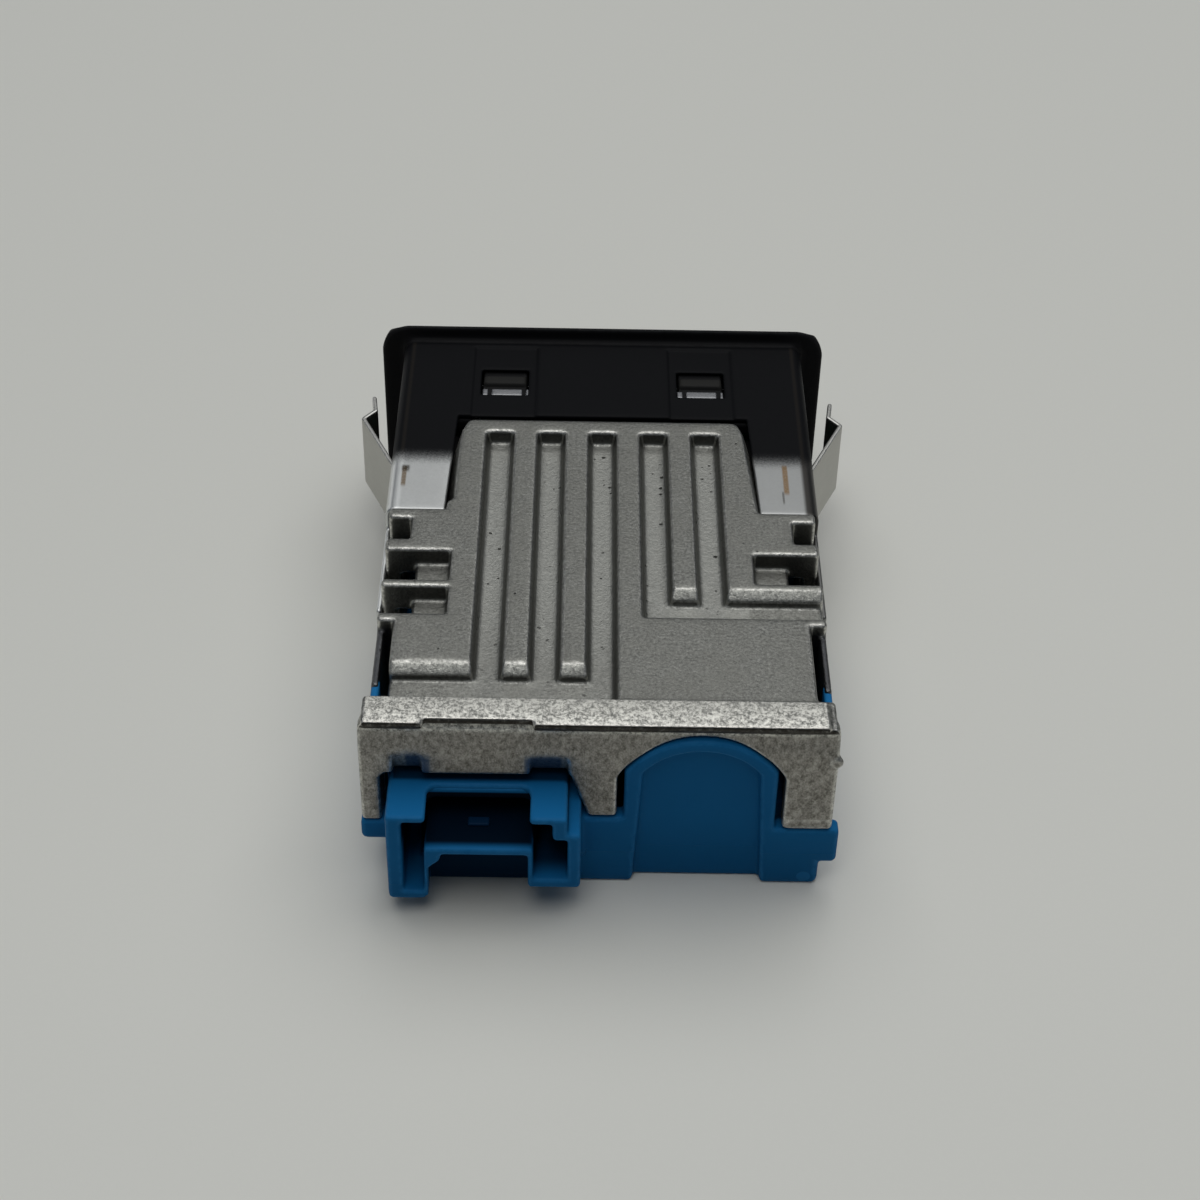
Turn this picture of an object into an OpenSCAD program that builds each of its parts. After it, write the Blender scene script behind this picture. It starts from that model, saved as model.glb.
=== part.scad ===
// Twin USB charging socket for a car console, lying on its underside.
// X runs across the socket, +Y points out of the face with the ports, +Z is up.
// Depths start at the panel seat (back of the flange) or at the face of the rear wall.

/* [Front flange] */
// Width of the flange that covers the edge of the panel opening
flange_w = 46; // [45:0.5:52]
// Height of the flange
flange_h = 19.2; // [18.8:0.1:23]
// Thickness of the flange
flange_t = 2.4; // [1.8:0.1:3]
// Thickness of the flange at its sloping edge
rim_t = 0.3; // [0.2:0.1:1]
// Corner radius of the flange
flange_r = 2.2; // [0.5:0.1:4]
// Width of the narrow rim that stops the port face at the front
face_lip_w = 0.6; // [0.3:0.1:1.2]
// Thickness of that rim
face_lip_t = 0.6; // [0.4:0.1:1]

/* [Front sleeve] */
// Width of the sheet-metal sleeve behind the flange
body_w = 41; // [40.4:0.1:43]
// Height of the sleeve
body_h = 16.4; // [16:0.1:18]
// Distance from the panel seat to the face of the rear wall
body_l = 59.5; // [58:0.5:66]
// Sheet thickness of the sleeve
plate_t = 0.5; // [0.3:0.05:0.6]
// Corner radius of the sleeve
sleeve_r = 1; // [0.3:0.1:1.4]
// Distance from the panel seat to the cut-out for the cast tongue
sleeve_l = 13.5; // [12.5:0.1:14.5]
// Gap between the sheet and the cast tongue
tab_gap = 0.18; // [0.1:0.02:0.6]
// Width of the folded lower edges of the sleeve
hem_w = 4; // [2:0.1:5]
// Distance from the rear wall to the end of the sleeve's side tails
tail_d = 18.5; // [16:0.1:20]
// Height of the side tails
tail_h = 7.6; // [5:0.1:8]

/* [Front moulding] */
// Wall thickness of the moulding inside the sleeve
plug_wall = 1.4; // [1.2:0.1:1.8]
// Length of the collar between the flange and the sleeve
collar_l = 0.6; // [0.4:0.1:1]
// Thickness of its side cheeks
cheek_t = 2.4; // [2.2:0.1:3]
// Width of the shelf that carries the edge of the cast tongue
shelf_w = 1.6; // [1:0.1:2.2]
// Thickness of that shelf
shelf_t = 1.4; // [1:0.1:2]
// Length of the skirt behind the port face
skirt_l = 4; // [2:0.1:5]

/* [Latches] */
// Distance of each latch window from the middle
latch_x = 9.9; // [8:0.1:12]
// Width of a latch window
latch_w = 4.7; // [4:0.1:6]
// Distance from the panel seat to the front edge of a latch window
latch_y = 6; // [5:0.1:6.5]
// Length of a latch window
latch_l = 4.3; // [3.5:0.1:5]
// Width of the shallow panel around a latch window
panel_w = 6.4; // [6.2:0.1:8]
// Depth of that panel
panel_d = 0.15; // [0.05:0.05:0.2]
// Rise of a hook above the moulding
hook_h = 0.55; // [0.3:0.05:0.6]

/* [Cast cover] */
// Height of the cast surface above the sleeve
cover_rise = 0.5; // [0.2:0.1:1]
// Thickness of the cast skin under the grooves
cover_skin = 1.4; // [1.2:0.1:2]
// Wall thickness of the cast sides
cover_wall = 1.4; // [1.2:0.1:1.8]
// Distance from the rear wall to the shoulders
shoulder_d = 30.3; // [29.8:0.1:31]
// Width of the tongue at the shoulders
tongue_w = 29.2; // [28:0.1:29.6]
// Width of the tongue at its end
tip_w = 27.4; // [26.6:0.1:28]
// Distance from the panel seat to the end of the tongue
tip_y = 15.2; // [14.8:0.1:16]
// Corner radius of the tongue
tip_r = 1.2; // [0.5:0.1:2]
// Draft angle of the sides of the tongue
tongue_draft = 18; // [5:1:20]

/* [Cooling grooves] */
// Distance between neighbouring grooves
groove_pitch = 5; // [4.6:0.1:5.2]
// Width of a groove at its rim
groove_w = 2.75; // [2.4:0.05:3]
// Width of a groove at its floor
groove_floor = 2.2; // [1.6:0.05:2.4]
// Depth of a groove
groove_d = 1.6; // [1:0.1:1.8]
// Corner radius at the front end of a groove
groove_r = 0.6; // [0.2:0.1:0.9]
// Distance from the end of the tongue to the front of the grooves
groove_gap = 1.6; // [1.2:0.1:3]
// Width of the cross band behind the left grooves
left_band_w = 3.95; // [3:0.05:5]
// Distance from the rear wall to the cross band of the right grooves
right_band_d = 15; // [14.5:0.1:15.2]
// Width of the cross band of the right grooves
right_band_w = 3.1; // [2.5:0.1:3.3]
// Size of the slope at the rib ends
rib_slope = 0.85; // [0.4:0.05:0.9]

/* [Side pockets] */
// Distance of the inner edge of the pockets from the middle
pocket_x = 13.9; // [13.6:0.1:14.6]
// Distance of the step inside the pockets from the middle
pocket_step = 17.2; // [16:0.1:17.6]
// Depth of the shelf inside the pockets
pocket_d = 1.85; // [1.2:0.05:2]
// Distance from the rear wall to the front pocket on each side
front_pocket_d = 19.8; // [19.4:0.1:20]
// Length of the front pockets
front_pocket_l = 4.2; // [3:0.1:4.6]
// Distance from the rear wall to the second pocket on the left
rear_pocket_d = 15.1; // [14.9:0.1:15.4]
// Length of the second pocket on the left
rear_pocket_l = 3.7; // [3:0.1:3.8]
// Distance of the inner edge of the small slots from the middle
small_slot_x = 17.8; // [17:0.1:18]
// Distance from the rear wall to the small slots
small_slot_d = 25.7; // [25:0.1:26]
// Length of the small slots
small_slot_l = 3.1; // [2:0.1:3.4]
// Distance of the inner edge of the long side slots from the middle
long_slot_x = 18.5; // [18:0.1:18.5]
// Distance from the rear wall to the front end of the long side slots
long_slot_d = 14; // [11:0.1:14.4]

/* [Rear wall] */
// Reach of the rear wall to the left
rear_left = 20.65; // [20.5:0.05:21]
// Reach of the rear wall to the right
rear_right = 20.25; // [20.1:0.05:20.6]
// Radius of the upper corners of the rear wall
rear_r = 0.8; // [0.3:0.1:1.2]
// Thickness of the rear wall
rear_t = 1.7; // [1.4:0.1:2]
// Depth of the raised lip along the rear wall
lip_d = 3.7; // [3:0.1:3.8]
// Height of the lip at its front edge
lip_h = 0.6; // [0.5:0.05:0.8]
// Height of the lip at its rear edge
lip_rear_h = 0.5; // [0.3:0.05:0.5]
// Radius of the rounded nose of the lip
lip_r = 0.35; // [0.2:0.05:0.45]
// Overhang of the lip over the rear wall
lip_over = 0.35; // [0.1:0.05:0.5]
// Middle of the round-topped opening
arch_x = 8.65; // [8.4:0.05:9]
// Half width of the round-topped opening
arch_half = 7.2; // [7:0.1:7.3]
// Radius of the top of that opening
arch_r = 8; // [7.6:0.1:8.4]
// Distance from the cast surface down to the top of that opening
arch_top = 1; // [0.8:0.1:1.4]

/* [Rear housing] */
// Height of the lower housing walls above the underside of the body
tray_h = 5.6; // [5.4:0.1:5.9]
// Thickness of the lower housing floor
floor_t = 1.5; // [1.2:0.1:2]
// Wall thickness of the lower housing
tray_wall = 1.4; // [1.2:0.1:1.6]
// Half width of the lower housing below its rim
tray_half = 18.6; // [18:0.1:19]
// Height of the rim of the lower housing
tray_rim = 2.1; // [1.5:0.1:3]
// Length of the foot under the rear edge
foot_l = 7; // [4:0.5:12]
// Half width of the closed round-topped port
dome_half = 6.6; // [6.3:0.1:6.7]
// Half width of the recess in that port
recess_half = 5; // [4.4:0.1:5.2]
// Depth of the recess
recess_d = 0.9; // [0.4:0.1:1.2]
// Length of the snap arms in the long side slots
snap_l = 2.3; // [1.5:0.1:2.4]
// Diameter of the posts under the circuit board
post_dia = 3.2; // [2.6:0.1:4]
// Diameter of the locating pegs on the posts
peg_dia = 1.8; // [1.4:0.1:2]

/* [Rear connector] */
// Length of the shroud behind the rear wall
shroud_l = 4.3; // [4.2:0.1:8]
// Depth of the shroud inside the rear wall
shroud_in = 5; // [4.6:0.1:5.2]
// Left side of the shroud
shroud_x = -18.25; // [-18.4:0.05:-18]
// Width of the shroud
shroud_w = 16.65; // [16.4:0.05:16.8]
// Height of the shroud above its left leg
shroud_h = 10; // [9.8:0.1:10.3]
// Wall thickness of the shroud
shroud_wall = 0.75; // [0.6:0.05:0.9]
// Width of the notch in the top of the shroud
notch_w = 8.8; // [6:0.1:9.4]
// Width of a square header pin
pin_w = 0.64; // [0.5:0.02:0.8]
// Distance between neighbouring header pins
pin_pitch = 1.8; // [1.6:0.1:2]
// Setback of the pin ends from the face of the rear wall
pin_set = 1.6; // [-2:0.1:2]

/* [Spring arms] */
// Distance of each hinge bead from the middle
bead_x = 18.9; // [18.7:0.05:19]
// Distance of the hinge beads from the panel seat
bead_y = 22; // [21.5:0.1:23]
// Diameter of the rolled bead at the root of an arm
bead_dia = 1.2; // [1:0.05:1.3]
// Sheet thickness of an arm
arm_t = 0.46; // [0.36:0.02:0.6]
// Height of an arm
arm_h = 8.1; // [6:0.1:8.2]
// Distance from the ports' middle line up to the top of an arm
arm_top = 5.5; // [5:0.1:5.6]
// Reach of the knee outside the bead
knee_out = 5.2; // [4.7:0.05:5.4]
// Length from the bead to the knee
knee_l = 11.5; // [10:0.1:12]
// Reach of the crease behind the tip outside the bead
crease_out = 4.1; // [3.8:0.05:4.3]
// Length from the bead to that crease
crease_l = 12.9; // [12.5:0.1:13.4]
// Reach of the tip outside the bead
tip_out = 4.4; // [4:0.05:4.6]
// Length from the bead to the tip
tip_l = 15.1; // [14.4:0.1:15.6]

/* [Circuit board] */
// Thickness of the circuit board
board_t = 1.2; // [0.8:0.1:1.6]
// Width of the circuit board
board_w = 31.6; // [30:0.1:31.8]

/* [Ports] */
// Distance of each port from the middle
port_x = 9; // [7:0.1:10]
// Outer width of a port shell
port_w = 8.94; // [8.8:0.02:9.2]
// Outer height of a port shell
port_h = 3.26; // [3.2:0.02:3.4]
// Length of a port shell
port_l = 7.4; // [6.6:0.1:9]
// Sheet thickness of a port shell
shell_t = 0.3; // [0.2:0.02:0.34]
// Setback of the port shells from the port face
port_set = 1; // [0.4:0.1:1.6]
// Thickness of the tongue inside a port
blade_t = 0.7; // [0.6:0.02:0.8]
// Width of the tongue inside a port
blade_w = 6.7; // [6.4:0.05:6.9]

/* [Board parts] */
// Side of a power inductor
coil_w = 7; // [5:0.1:8]
// Height of a power inductor
coil_h = 4.2; // [3:0.1:5]
// Diameter of a filter capacitor
cap_dia = 6.3; // [4:0.1:7]
// Height of a filter capacitor
cap_h = 5.7; // [4:0.1:6]
// Side of a converter chip
chip_w = 5; // [4:0.1:6]
// Height of a converter chip
chip_h = 0.9; // [0.7:0.05:1.1]
// Thickness of the thermal pad
pad_t = 1; // [0.5:0.1:1.5]
// Side of a power transistor
fet_w = 3.3; // [2:0.1:3.6]

/* [Fits] */
// Clearance between assembled pieces
fit = 0.1; // [0.05:0.01:0.15]
// Radial clearance of the hinge beads in their seats
bead_fit = 0.05; // [0.02:0.01:0.08]

/* [Hidden] */
$fn = 48;
eps = 0.02;
// Heights
z_mid = flange_h / 2;
z_base = z_mid - body_h / 2;
z_top = z_mid + body_h / 2;
z_cover = z_top + cover_rise;
z_groove = z_cover - groove_d;
z_under = z_groove - cover_skin;
z_split = z_base + tray_h;
z_plug0 = z_base + plate_t + fit;
z_plug1 = z_top - plate_t - fit;
z_board = z_mid - port_h / 2;
z_post = z_board - board_t;
z_arm = z_mid + arm_top;
z_pin = z_mid + 0.2;
// Widths
half = body_w / 2;
side = half - plate_t;
plug_half = side - fit;
plug_in = plug_half - plug_wall;
cheek_in = plug_half - cheek_t;
tab_x = tongue_w / 2 + (cover_rise + plate_t) * tan(tongue_draft) + tab_gap;
// Lengths, measured from the panel seat
y_rear = -body_l;
y_shoulder = y_rear + shoulder_d;
y_cheek = y_shoulder + 0.3;
y_tip = -tip_y;
y_groove = y_tip - groove_gap;
y_bead = -bead_y;
y_lip = y_rear + lip_d;
y_left_band = y_lip + left_band_w;
y_right_band = y_rear + right_band_d;
y_right_rib = y_right_band + right_band_w;
y_tail = y_rear + tail_d;
y_long = y_rear + lip_d + 0.5;
y_snap = y_long + fit;
y_board = y_rear + shroud_in + 0.6;
y_face = flange_t - face_lip_t;
y_board_front = -1.6;
y_mid = (flange_t - body_l - shroud_l) / 2;
// Window that lets a spring arm swing into the body
window_y0 = y_bead + bead_dia / 4;
window_y1 = y_bead + tip_l + 1.6;
window_z0 = z_arm - arm_h - 0.2;
window_z1 = z_arm + 0.2;
// Rear connector
shroud_x1 = shroud_x + shroud_w;
z_shroud = z_mid + 2.3;
z_shroud_low = z_shroud - shroud_h;
z_shelf = z_shroud - 3.7;
key_x = shroud_x1 - 1.15;
notch_x = shroud_x + (shroud_w - notch_w) / 2 - 0.5;
pin_x = [-2.3, -1.3, 1.3, 2.3];
pin_mid = notch_x + notch_w / 2;
y_pin_down = y_board + 1.3;
// Openings in the rear wall
z_arch = z_cover - arch_top - arch_r;
z_dome = z_arch + fit;
dome_r = arch_r - 2 * fit;
recess_r = recess_half * 1.22;
z_recess = z_cover - arch_top - 1.5 - recess_r;
slot_top = z_shroud + 1;

// Helpers

module placed() {
    translate([0, -y_mid, 0]) children();
}

module both() {
    children();
    mirror([1, 0, 0]) children();
}

module block(x0, x1, y0, y1, z0, z1) {
    translate([x0, y0, z0]) cube([x1 - x0, y1 - y0, z1 - z0]);
}

module along_x(x0, x1) {
    translate([x0, 0, 0]) rotate([90, 0, 90]) linear_extrude(x1 - x0) children();
}

module along_y(y0, y1) {
    translate([0, y1, 0]) rotate([90, 0, 0]) linear_extrude(y1 - y0) children();
}

module along_z(z0, z1) {
    translate([0, 0, z0]) linear_extrude(z1 - z0) children();
}

module rounded(x0, x1, y0, y1, r) {
    translate([x0 + r, y0]) square([x1 - x0 - 2 * r, y1 - y0]);
    translate([x0, y0 + r]) square([x1 - x0, y1 - y0 - 2 * r]);
    for (x = [x0 + r, x1 - r], y = [y0 + r, y1 - r]) translate([x, y]) circle(r);
}

module stadium(w, h) {
    square([w - h, h], center = true);
    for (s = [-1, 1]) translate([s * (w - h) / 2, 0]) circle(h / 2);
}

// Front moulding: flange, plug with snap hooks and two cheeks with the bead seats

module flange_body() {
    x1 = flange_w / 2;
    slope = flange_t - rim_t;
    intersection() {
        along_y(0, flange_t) rounded(-x1, x1, 0, flange_h, flange_r);
        along_z(0, flange_h) polygon([[-x1, 0], [x1, 0], [x1, rim_t], [x1 - slope, flange_t],
            [slope - x1, flange_t], [-x1, rim_t]]);
        along_x(-x1, x1) polygon([[0, 0], [rim_t, 0], [flange_t, slope], [flange_t, flange_h - slope],
            [rim_t, flange_h], [0, flange_h]]);
    }
}

module hook_profile() {
    back = -latch_y - latch_l + fit;
    front = -latch_y - 0.4;
    z0 = z_plug1 - plug_wall / 2;
    polygon([[back, z0], [front, z0], [front, z_plug1 - 0.4],
        [(back + front) / 2, z_plug1 + hook_h], [back, z_plug1 + hook_h]]);
}

module bezel_frame() {
    hook_w = latch_w - 4 * fit;
    in_z0 = z_plug0 + plug_wall;
    in_z1 = z_plug1 - plug_wall;
    color("#1b1b1d") placed() difference() {
        union() {
            flange_body();
            along_y(-collar_l, eps) rounded(-half, half, z_base, z_top, sleeve_r);
            along_y(-sleeve_l, eps) rounded(-plug_half, plug_half, z_plug0, z_plug1, sleeve_r / 2);
            block(-tab_x, tab_x, y_tip - shelf_w, -eps - sleeve_l, z_under - shelf_t, z_under);
            both() {
                block(cheek_in, plug_half, y_cheek, eps - sleeve_l, z_plug0, z_plug1);
                block(tongue_w / 2 - shelf_w, plug_half, y_cheek, -eps - sleeve_l,
                    z_under - shelf_t, z_under);
            }
            for (x = [-latch_x, latch_x]) {
                along_x(x - hook_w / 2, x + hook_w / 2) hook_profile();
                translate([0, 0, 2 * z_mid]) mirror([0, 0, 1])
                    along_x(x - hook_w / 2, x + hook_w / 2) hook_profile();
            }
        }
        along_y(-sleeve_l - eps, y_face) rounded(-plug_in, plug_in, in_z0, in_z1, sleeve_r / 2);
        along_y(0, flange_t + 1) rounded(-plug_in + face_lip_w, plug_in - face_lip_w,
            in_z0 + face_lip_w, in_z1 - face_lip_w, sleeve_r / 2);
        for (x = [-latch_x, latch_x], s = [-1, 1])
            block(x + s * (hook_w / 2 + 0.4) - 0.3, x + s * (hook_w / 2 + 0.4) + 0.3,
                -sleeve_l - eps, -3, -1, flange_h);
        both() {
            block(plug_in - 2, flange_w, window_y0, window_y1, window_z0, window_z1);
            translate([bead_x, y_bead, window_z0])
                cylinder(d = bead_dia + 2 * bead_fit, h = window_z1 - window_z0);
        }
    }
}

// Port face behind the flange rim

module port_face() {
    x1 = plug_in - fit;
    z0 = z_plug0 + plug_wall + fit;
    z1 = z_plug1 - plug_wall - fit;
    color("#2e2e31") placed() difference() {
        along_y(-1.4 - skirt_l, y_face) rounded(-x1, x1, z0, z1, sleeve_r / 2);
        block(1.2 - x1, x1 - 1.2, -2 - skirt_l, -1.4, z0 + 1.2, z1 - 1.2);
        for (x = [-port_x, port_x]) translate([x, 0, z_mid])
            along_y(-2, flange_t) stadium(port_w + 2 * fit, port_h + 2 * fit);
    }
}

// Sheet-metal sleeve around the front moulding, with tails along the cast cover

module sleeve_half() {
    difference() {
        along_y(y_cheek, -collar_l - fit / 2) difference() {
            rounded(-half, half, z_base, z_top, sleeve_r);
            translate([-side, z_base + plate_t]) square([2 * side, body_h - 2 * plate_t]);
        }
        block(-tab_x, tab_x, y_cheek - 1, -sleeve_l, z_mid, flange_h);
        block(hem_w - half, half - hem_w, y_cheek - 1, -sleeve_l, -1, z_mid);
    }
    both() block(side, half, y_tail, y_cheek + eps, z_mid - tail_h / 2 + 2, z_mid + tail_h / 2 + 2);
}

module front_sleeve() {
    color("#c9ccd0") placed() difference() {
        sleeve_half();
        for (x = [-latch_x, latch_x]) {
            block(x - latch_w / 2, x + latch_w / 2, -latch_y - latch_l, -latch_y, -1, flange_h);
            block(x - panel_w / 2, x + panel_w / 2, -sleeve_l - 1, -collar_l - 0.8, z_top - panel_d, flange_h);
        }
        both() {
            block(side - 1, half + 1, window_y0, window_y1, window_z0, window_z1);
            block(side - 1, half + 1, y_tail + 2.2, y_tail + 5, z_mid + 0.8, z_mid + 3.2);
        }
    }
}

// Spring arms: a bent strip with a rolled bead at its root

module strip(a, b) {
    l = norm(b - a);
    translate(a) rotate(atan2(b[1] - a[1], b[0] - a[0]))
        translate([0, -arm_t / 2]) square([l, arm_t]);
}

module arm_plan() {
    bead = [0, 0];
    knee = [knee_out, knee_l];
    crease = [crease_out, crease_l];
    tip = [tip_out, tip_l];
    circle(d = bead_dia);
    strip(bead, knee);
    translate(knee) circle(d = arm_t);
    strip(knee, crease);
    translate(crease) circle(d = arm_t);
    strip(crease, tip);
    translate(tip) circle(d = arm_t);
}

module arm() {
    translate([bead_x, y_bead, 0]) along_z(z_arm - arm_h, z_arm) arm_plan();
}

module left_spring_arm() {
    color("#aeb0b3") placed() mirror([1, 0, 0]) arm();
}

module right_spring_arm() {
    color("#aeb0b3") placed() arm();
}

// Cast cover: slab with the tongue, grooves, pockets, walls and rear lip

module tongue_outline() {
    x1 = tongue_w / 2;
    x2 = tip_w / 2;
    foot = (z_cover - z_under) * tan(tongue_draft);
    y0 = y_shoulder - 1;
    y1 = y_tip - tip_r;
    polygon([[x1 + foot, y0], [x1 + foot, y_shoulder], [x2 + foot, y1 - foot], [x2, y1],
        [x2 - tip_r, y_tip], [tip_r - x2, y_tip], [-x2, y1], [-x2 - foot, y1 - foot],
        [-x1 - foot, y_shoulder], [-x1 - foot, y0]]);
    for (s = [-1, 1]) translate([s * (x2 - tip_r), y1]) circle(tip_r);
}

module tongue_side() {
    run = y_tip - tip_r - y_shoulder;
    turn = atan2((tongue_w - tip_w) / 2, run);
    translate([tongue_w / 2, y_shoulder, z_cover]) rotate([0, 0, turn]) rotate([0, -tongue_draft, 0])
        translate([0, -3, -8]) cube([8, 2 * run, 16]);
}

module cast_tongue() {
    difference() {
        along_z(z_under, z_cover) tongue_outline();
        both() tongue_side();
    }
}

module groove(i, y0) {
    x = i * groove_pitch;
    a = groove_floor / 2;
    b = groove_w / 2;
    rise = 0.5;
    c = b + rise * (b - a) / groove_d;
    intersection() {
        along_y(y0, y_groove) polygon([[x - a, z_groove], [x + a, z_groove],
            [x + c, z_cover + rise], [x - c, z_cover + rise]]);
        along_z(z_groove - 1, z_cover + 1) rounded(x - c, x + c, y0 - 2 * groove_r, y_groove, groove_r);
    }
}

module left_comb() {
    for (i = [-2 : 0]) groove(i, y_lip);
    block(-side - 1, 0.1, y_lip, y_left_band, z_groove, z_cover + 1);
}

module right_comb() {
    for (i = [1 : 2]) groove(i, y_right_band);
    block(groove_pitch - 0.1, side + 1, y_right_band, y_right_rib, z_groove, z_cover + 1);
}

module rib_slope(y) {
    polygon([[y - eps, z_cover + eps], [y + rib_slope + eps, z_cover + eps],
        [y - eps, z_cover - rib_slope - eps]]);
}

module pocket(d, l) {
    block(pocket_x, side + 1, y_rear + d, y_rear + d + l, z_cover - pocket_d, z_cover + 1);
    block(pocket_step, side + 1, y_rear + d, y_rear + d + l, z_cover - 5, z_cover + 1);
}

module connector_opening() {
    polygon([[shroud_x - 0.65, 0], [shroud_x - 0.65, slot_top - 0.4], [shroud_x - 0.25, slot_top],
        [shroud_x1 - 1, slot_top], [shroud_x1 + 0.6, z_split + 1], [shroud_x1 + 0.6, 0]]);
}

module arch_opening() {
    intersection() {
        translate([arch_x, z_arch]) circle(arch_r);
        translate([arch_x - arch_half, 0]) square([2 * arch_half, flange_h]);
    }
    translate([arch_x - arch_half, 0]) square([2 * arch_half, z_arch]);
}

module rear_wall_face() {
    difference() {
        rounded(-rear_left, rear_right, z_split - 2, z_cover, rear_r);
        connector_opening();
        arch_opening();
        translate([-rear_left - 1, 0]) square([2 * rear_left + 2, z_split - 0.1]);
        translate([-rear_left - 1, 0]) square([rear_left + 3.5, z_split + 0.3]);
        translate([shroud_x1, 0]) square([3, z_split + 1.1]);
    }
}

module wall_pocket(x0, x1, h) {
    along_x(x0, x1) polygon([[y_rear - 1, slot_top - 1], [y_rear + 0.9, slot_top - 1],
        [y_rear + 0.9, slot_top], [y_rear, slot_top + h], [y_rear - 1, slot_top + h]]);
}

module lip_profile() {
    y0 = y_rear + lip_r - lip_over;
    z0 = z_cover + lip_rear_h - lip_r;
    translate([y0, z0]) circle(lip_r);
    polygon([[y0, z0 - lip_r], [y0, z0 + lip_r], [y_lip - 0.2, z_cover + lip_h],
        [y_lip, z_cover - 0.6]]);
}

module cast_cover() {
    x_bracket = cheek_in - 1.2;
    pad_w = 2 * (groove_pitch + 3);
    color("#8d9093") placed() {
        difference() {
            union() {
                block(-side, side, y_rear, y_shoulder, z_under, z_cover);
                cast_tongue();
                both() {
                    block(side - cover_wall, side, y_rear, y_shoulder, z_split, z_cover - 1);
                    block(x_bracket, side, y_shoulder - cover_wall, y_shoulder, z_split, z_cover - 1);
                    block(side - 0.2, half - 0.05, y_tail + 2.35, y_tail + 4.85, z_mid + 0.95, z_mid + 3.05);
                    translate([board_w / 2 - 2.6, y_rear + 27, z_board])
                        cylinder(d = 3, h = z_under - z_board + 0.5);
                }
                along_y(y_rear, y_rear + rear_t) rear_wall_face();
                block(arch_x + arch_half + 0.3, rear_right - 0.2, y_rear - 0.12, y_rear + 0.5,
                    z_split - 0.1, z_split + 1);
                translate([rear_right - 0.2, y_rear + 0.5, z_cover - 3.4]) rotate([90, 0, 0])
                    cylinder(r = 0.6, h = 0.7);
                along_x(0.3 - rear_left, rear_right - 0.95) lip_profile();
                block(-pad_w / 2, pad_w / 2, y_rear + 22, y_rear + 33, z_board + chip_h + pad_t, z_under + 0.5);
            }
            left_comb();
            right_comb();
            along_x(-side - 1, 0.1) rib_slope(y_left_band);
            along_x(groove_pitch - 0.1, side + 1) rib_slope(y_right_rib);
            pocket(front_pocket_d, front_pocket_l);
            mirror([1, 0, 0]) {
                pocket(front_pocket_d, front_pocket_l);
                pocket(rear_pocket_d, rear_pocket_l);
            }
            both() {
                block(small_slot_x, side + 1, y_rear + small_slot_d,
                    y_rear + small_slot_d + small_slot_l, z_cover - 5, z_cover + 1);
                block(long_slot_x, side + 1, y_long, y_rear + long_slot_d, z_mid, z_cover + 1);
                block(long_slot_x, side + 1, y_long, y_long + snap_l + 2 * fit, 0, z_cover + 1);
            }
            along_y(y_rear - 1, y_rear + rear_t + 0.1) {
                connector_opening();
                arch_opening();
            }
            block(notch_x - 0.3, notch_x + notch_w + 0.3, y_rear - 1, y_rear + 0.25,
                z_cover - 0.3, z_cover + 1);
            block(-side - 1, shroud_x, y_rear - 1, y_rear + rear_t + 0.5, 0, z_split + 0.3);
            wall_pocket(shroud_x + 0.5, shroud_x + 2.9, 2.4);
            wall_pocket(shroud_x1 - 4.4, shroud_x1 - 1.2, 2.2);
        }
        both() block(side - 0.65, side, y_long + snap_l + 2 * fit, y_rear + long_slot_d + 1,
            z_split, z_cover - 1.3);
    }
}

// Lower housing with the connector shroud, the closed port and the snap arms

module dome_face() {
    intersection() {
        translate([arch_x, z_arch]) circle(dome_r);
        translate([arch_x - dome_half, 0]) square([2 * dome_half, flange_h]);
    }
    translate([arch_x - dome_half, 0]) square([2 * dome_half, z_arch]);
}

module recess_face() {
    z_knee = z_recess + recess_r * 0.57;
    intersection() {
        translate([arch_x, z_recess]) circle(recess_r);
        translate([arch_x - 2 * recess_half, z_knee]) square([4 * recess_half, flange_h]);
    }
    polygon([[arch_x - recess_half, z_knee + eps], [arch_x + recess_half, z_knee + eps],
        [arch_x + recess_half + 0.7, -1], [arch_x - recess_half - 0.7, -1]]);
}

module tray_face() {
    rounded(shroud_x - 0.35, side - 0.55, 0, z_split - 0.25, 0.6);
    rounded(-rear_left - 0.15, shroud_x + 1, z_split - tray_rim, z_split + 0.2, 0.5);
    rounded(side - 2, rear_right + 0.7, z_base + 1.3, z_split - 0.25, 0.5);
    translate([shroud_x1 - 0.5, z_base]) square([arch_x - dome_half - shroud_x1 + 1, tray_h + 0.9]);
    dome_face();
}

module shroud_face() {
    polygon([[shroud_x, z_shroud], [key_x, z_shroud], [key_x, z_shroud - 1.9],
        [shroud_x1, z_shroud - 1.9], [shroud_x1, z_shroud_low + 1.6],
        [shroud_x1 - 4.55, z_shroud_low + 1.6], [shroud_x1 - 4.55, z_shelf - 0.8],
        [shroud_x + 4.65, z_shelf - 0.8], [shroud_x + 4.55, z_shelf - 1.6],
        [shroud_x + 3.4, z_shelf - 2.5], [shroud_x + 3.3, z_shroud_low], [shroud_x, z_shroud_low]]);
}

module shroud_cavity() {
    x0 = shroud_x + 1.35;
    polygon([[x0, z_shroud - shroud_wall], [key_x - 1.3, z_shroud - shroud_wall],
        [key_x - 1.3, z_shroud - 2.6], [key_x, z_shroud - 2.6], [key_x, z_shroud_low + 2.7],
        [shroud_x1 - 3.8, z_shroud_low + 2.7], [shroud_x1 - 3.8, z_shelf],
        [shroud_x + 2.8, z_shelf], [shroud_x + 2.6, z_shroud_low + 1.05], [x0, z_shroud_low + 1.05]]);
}

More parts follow.
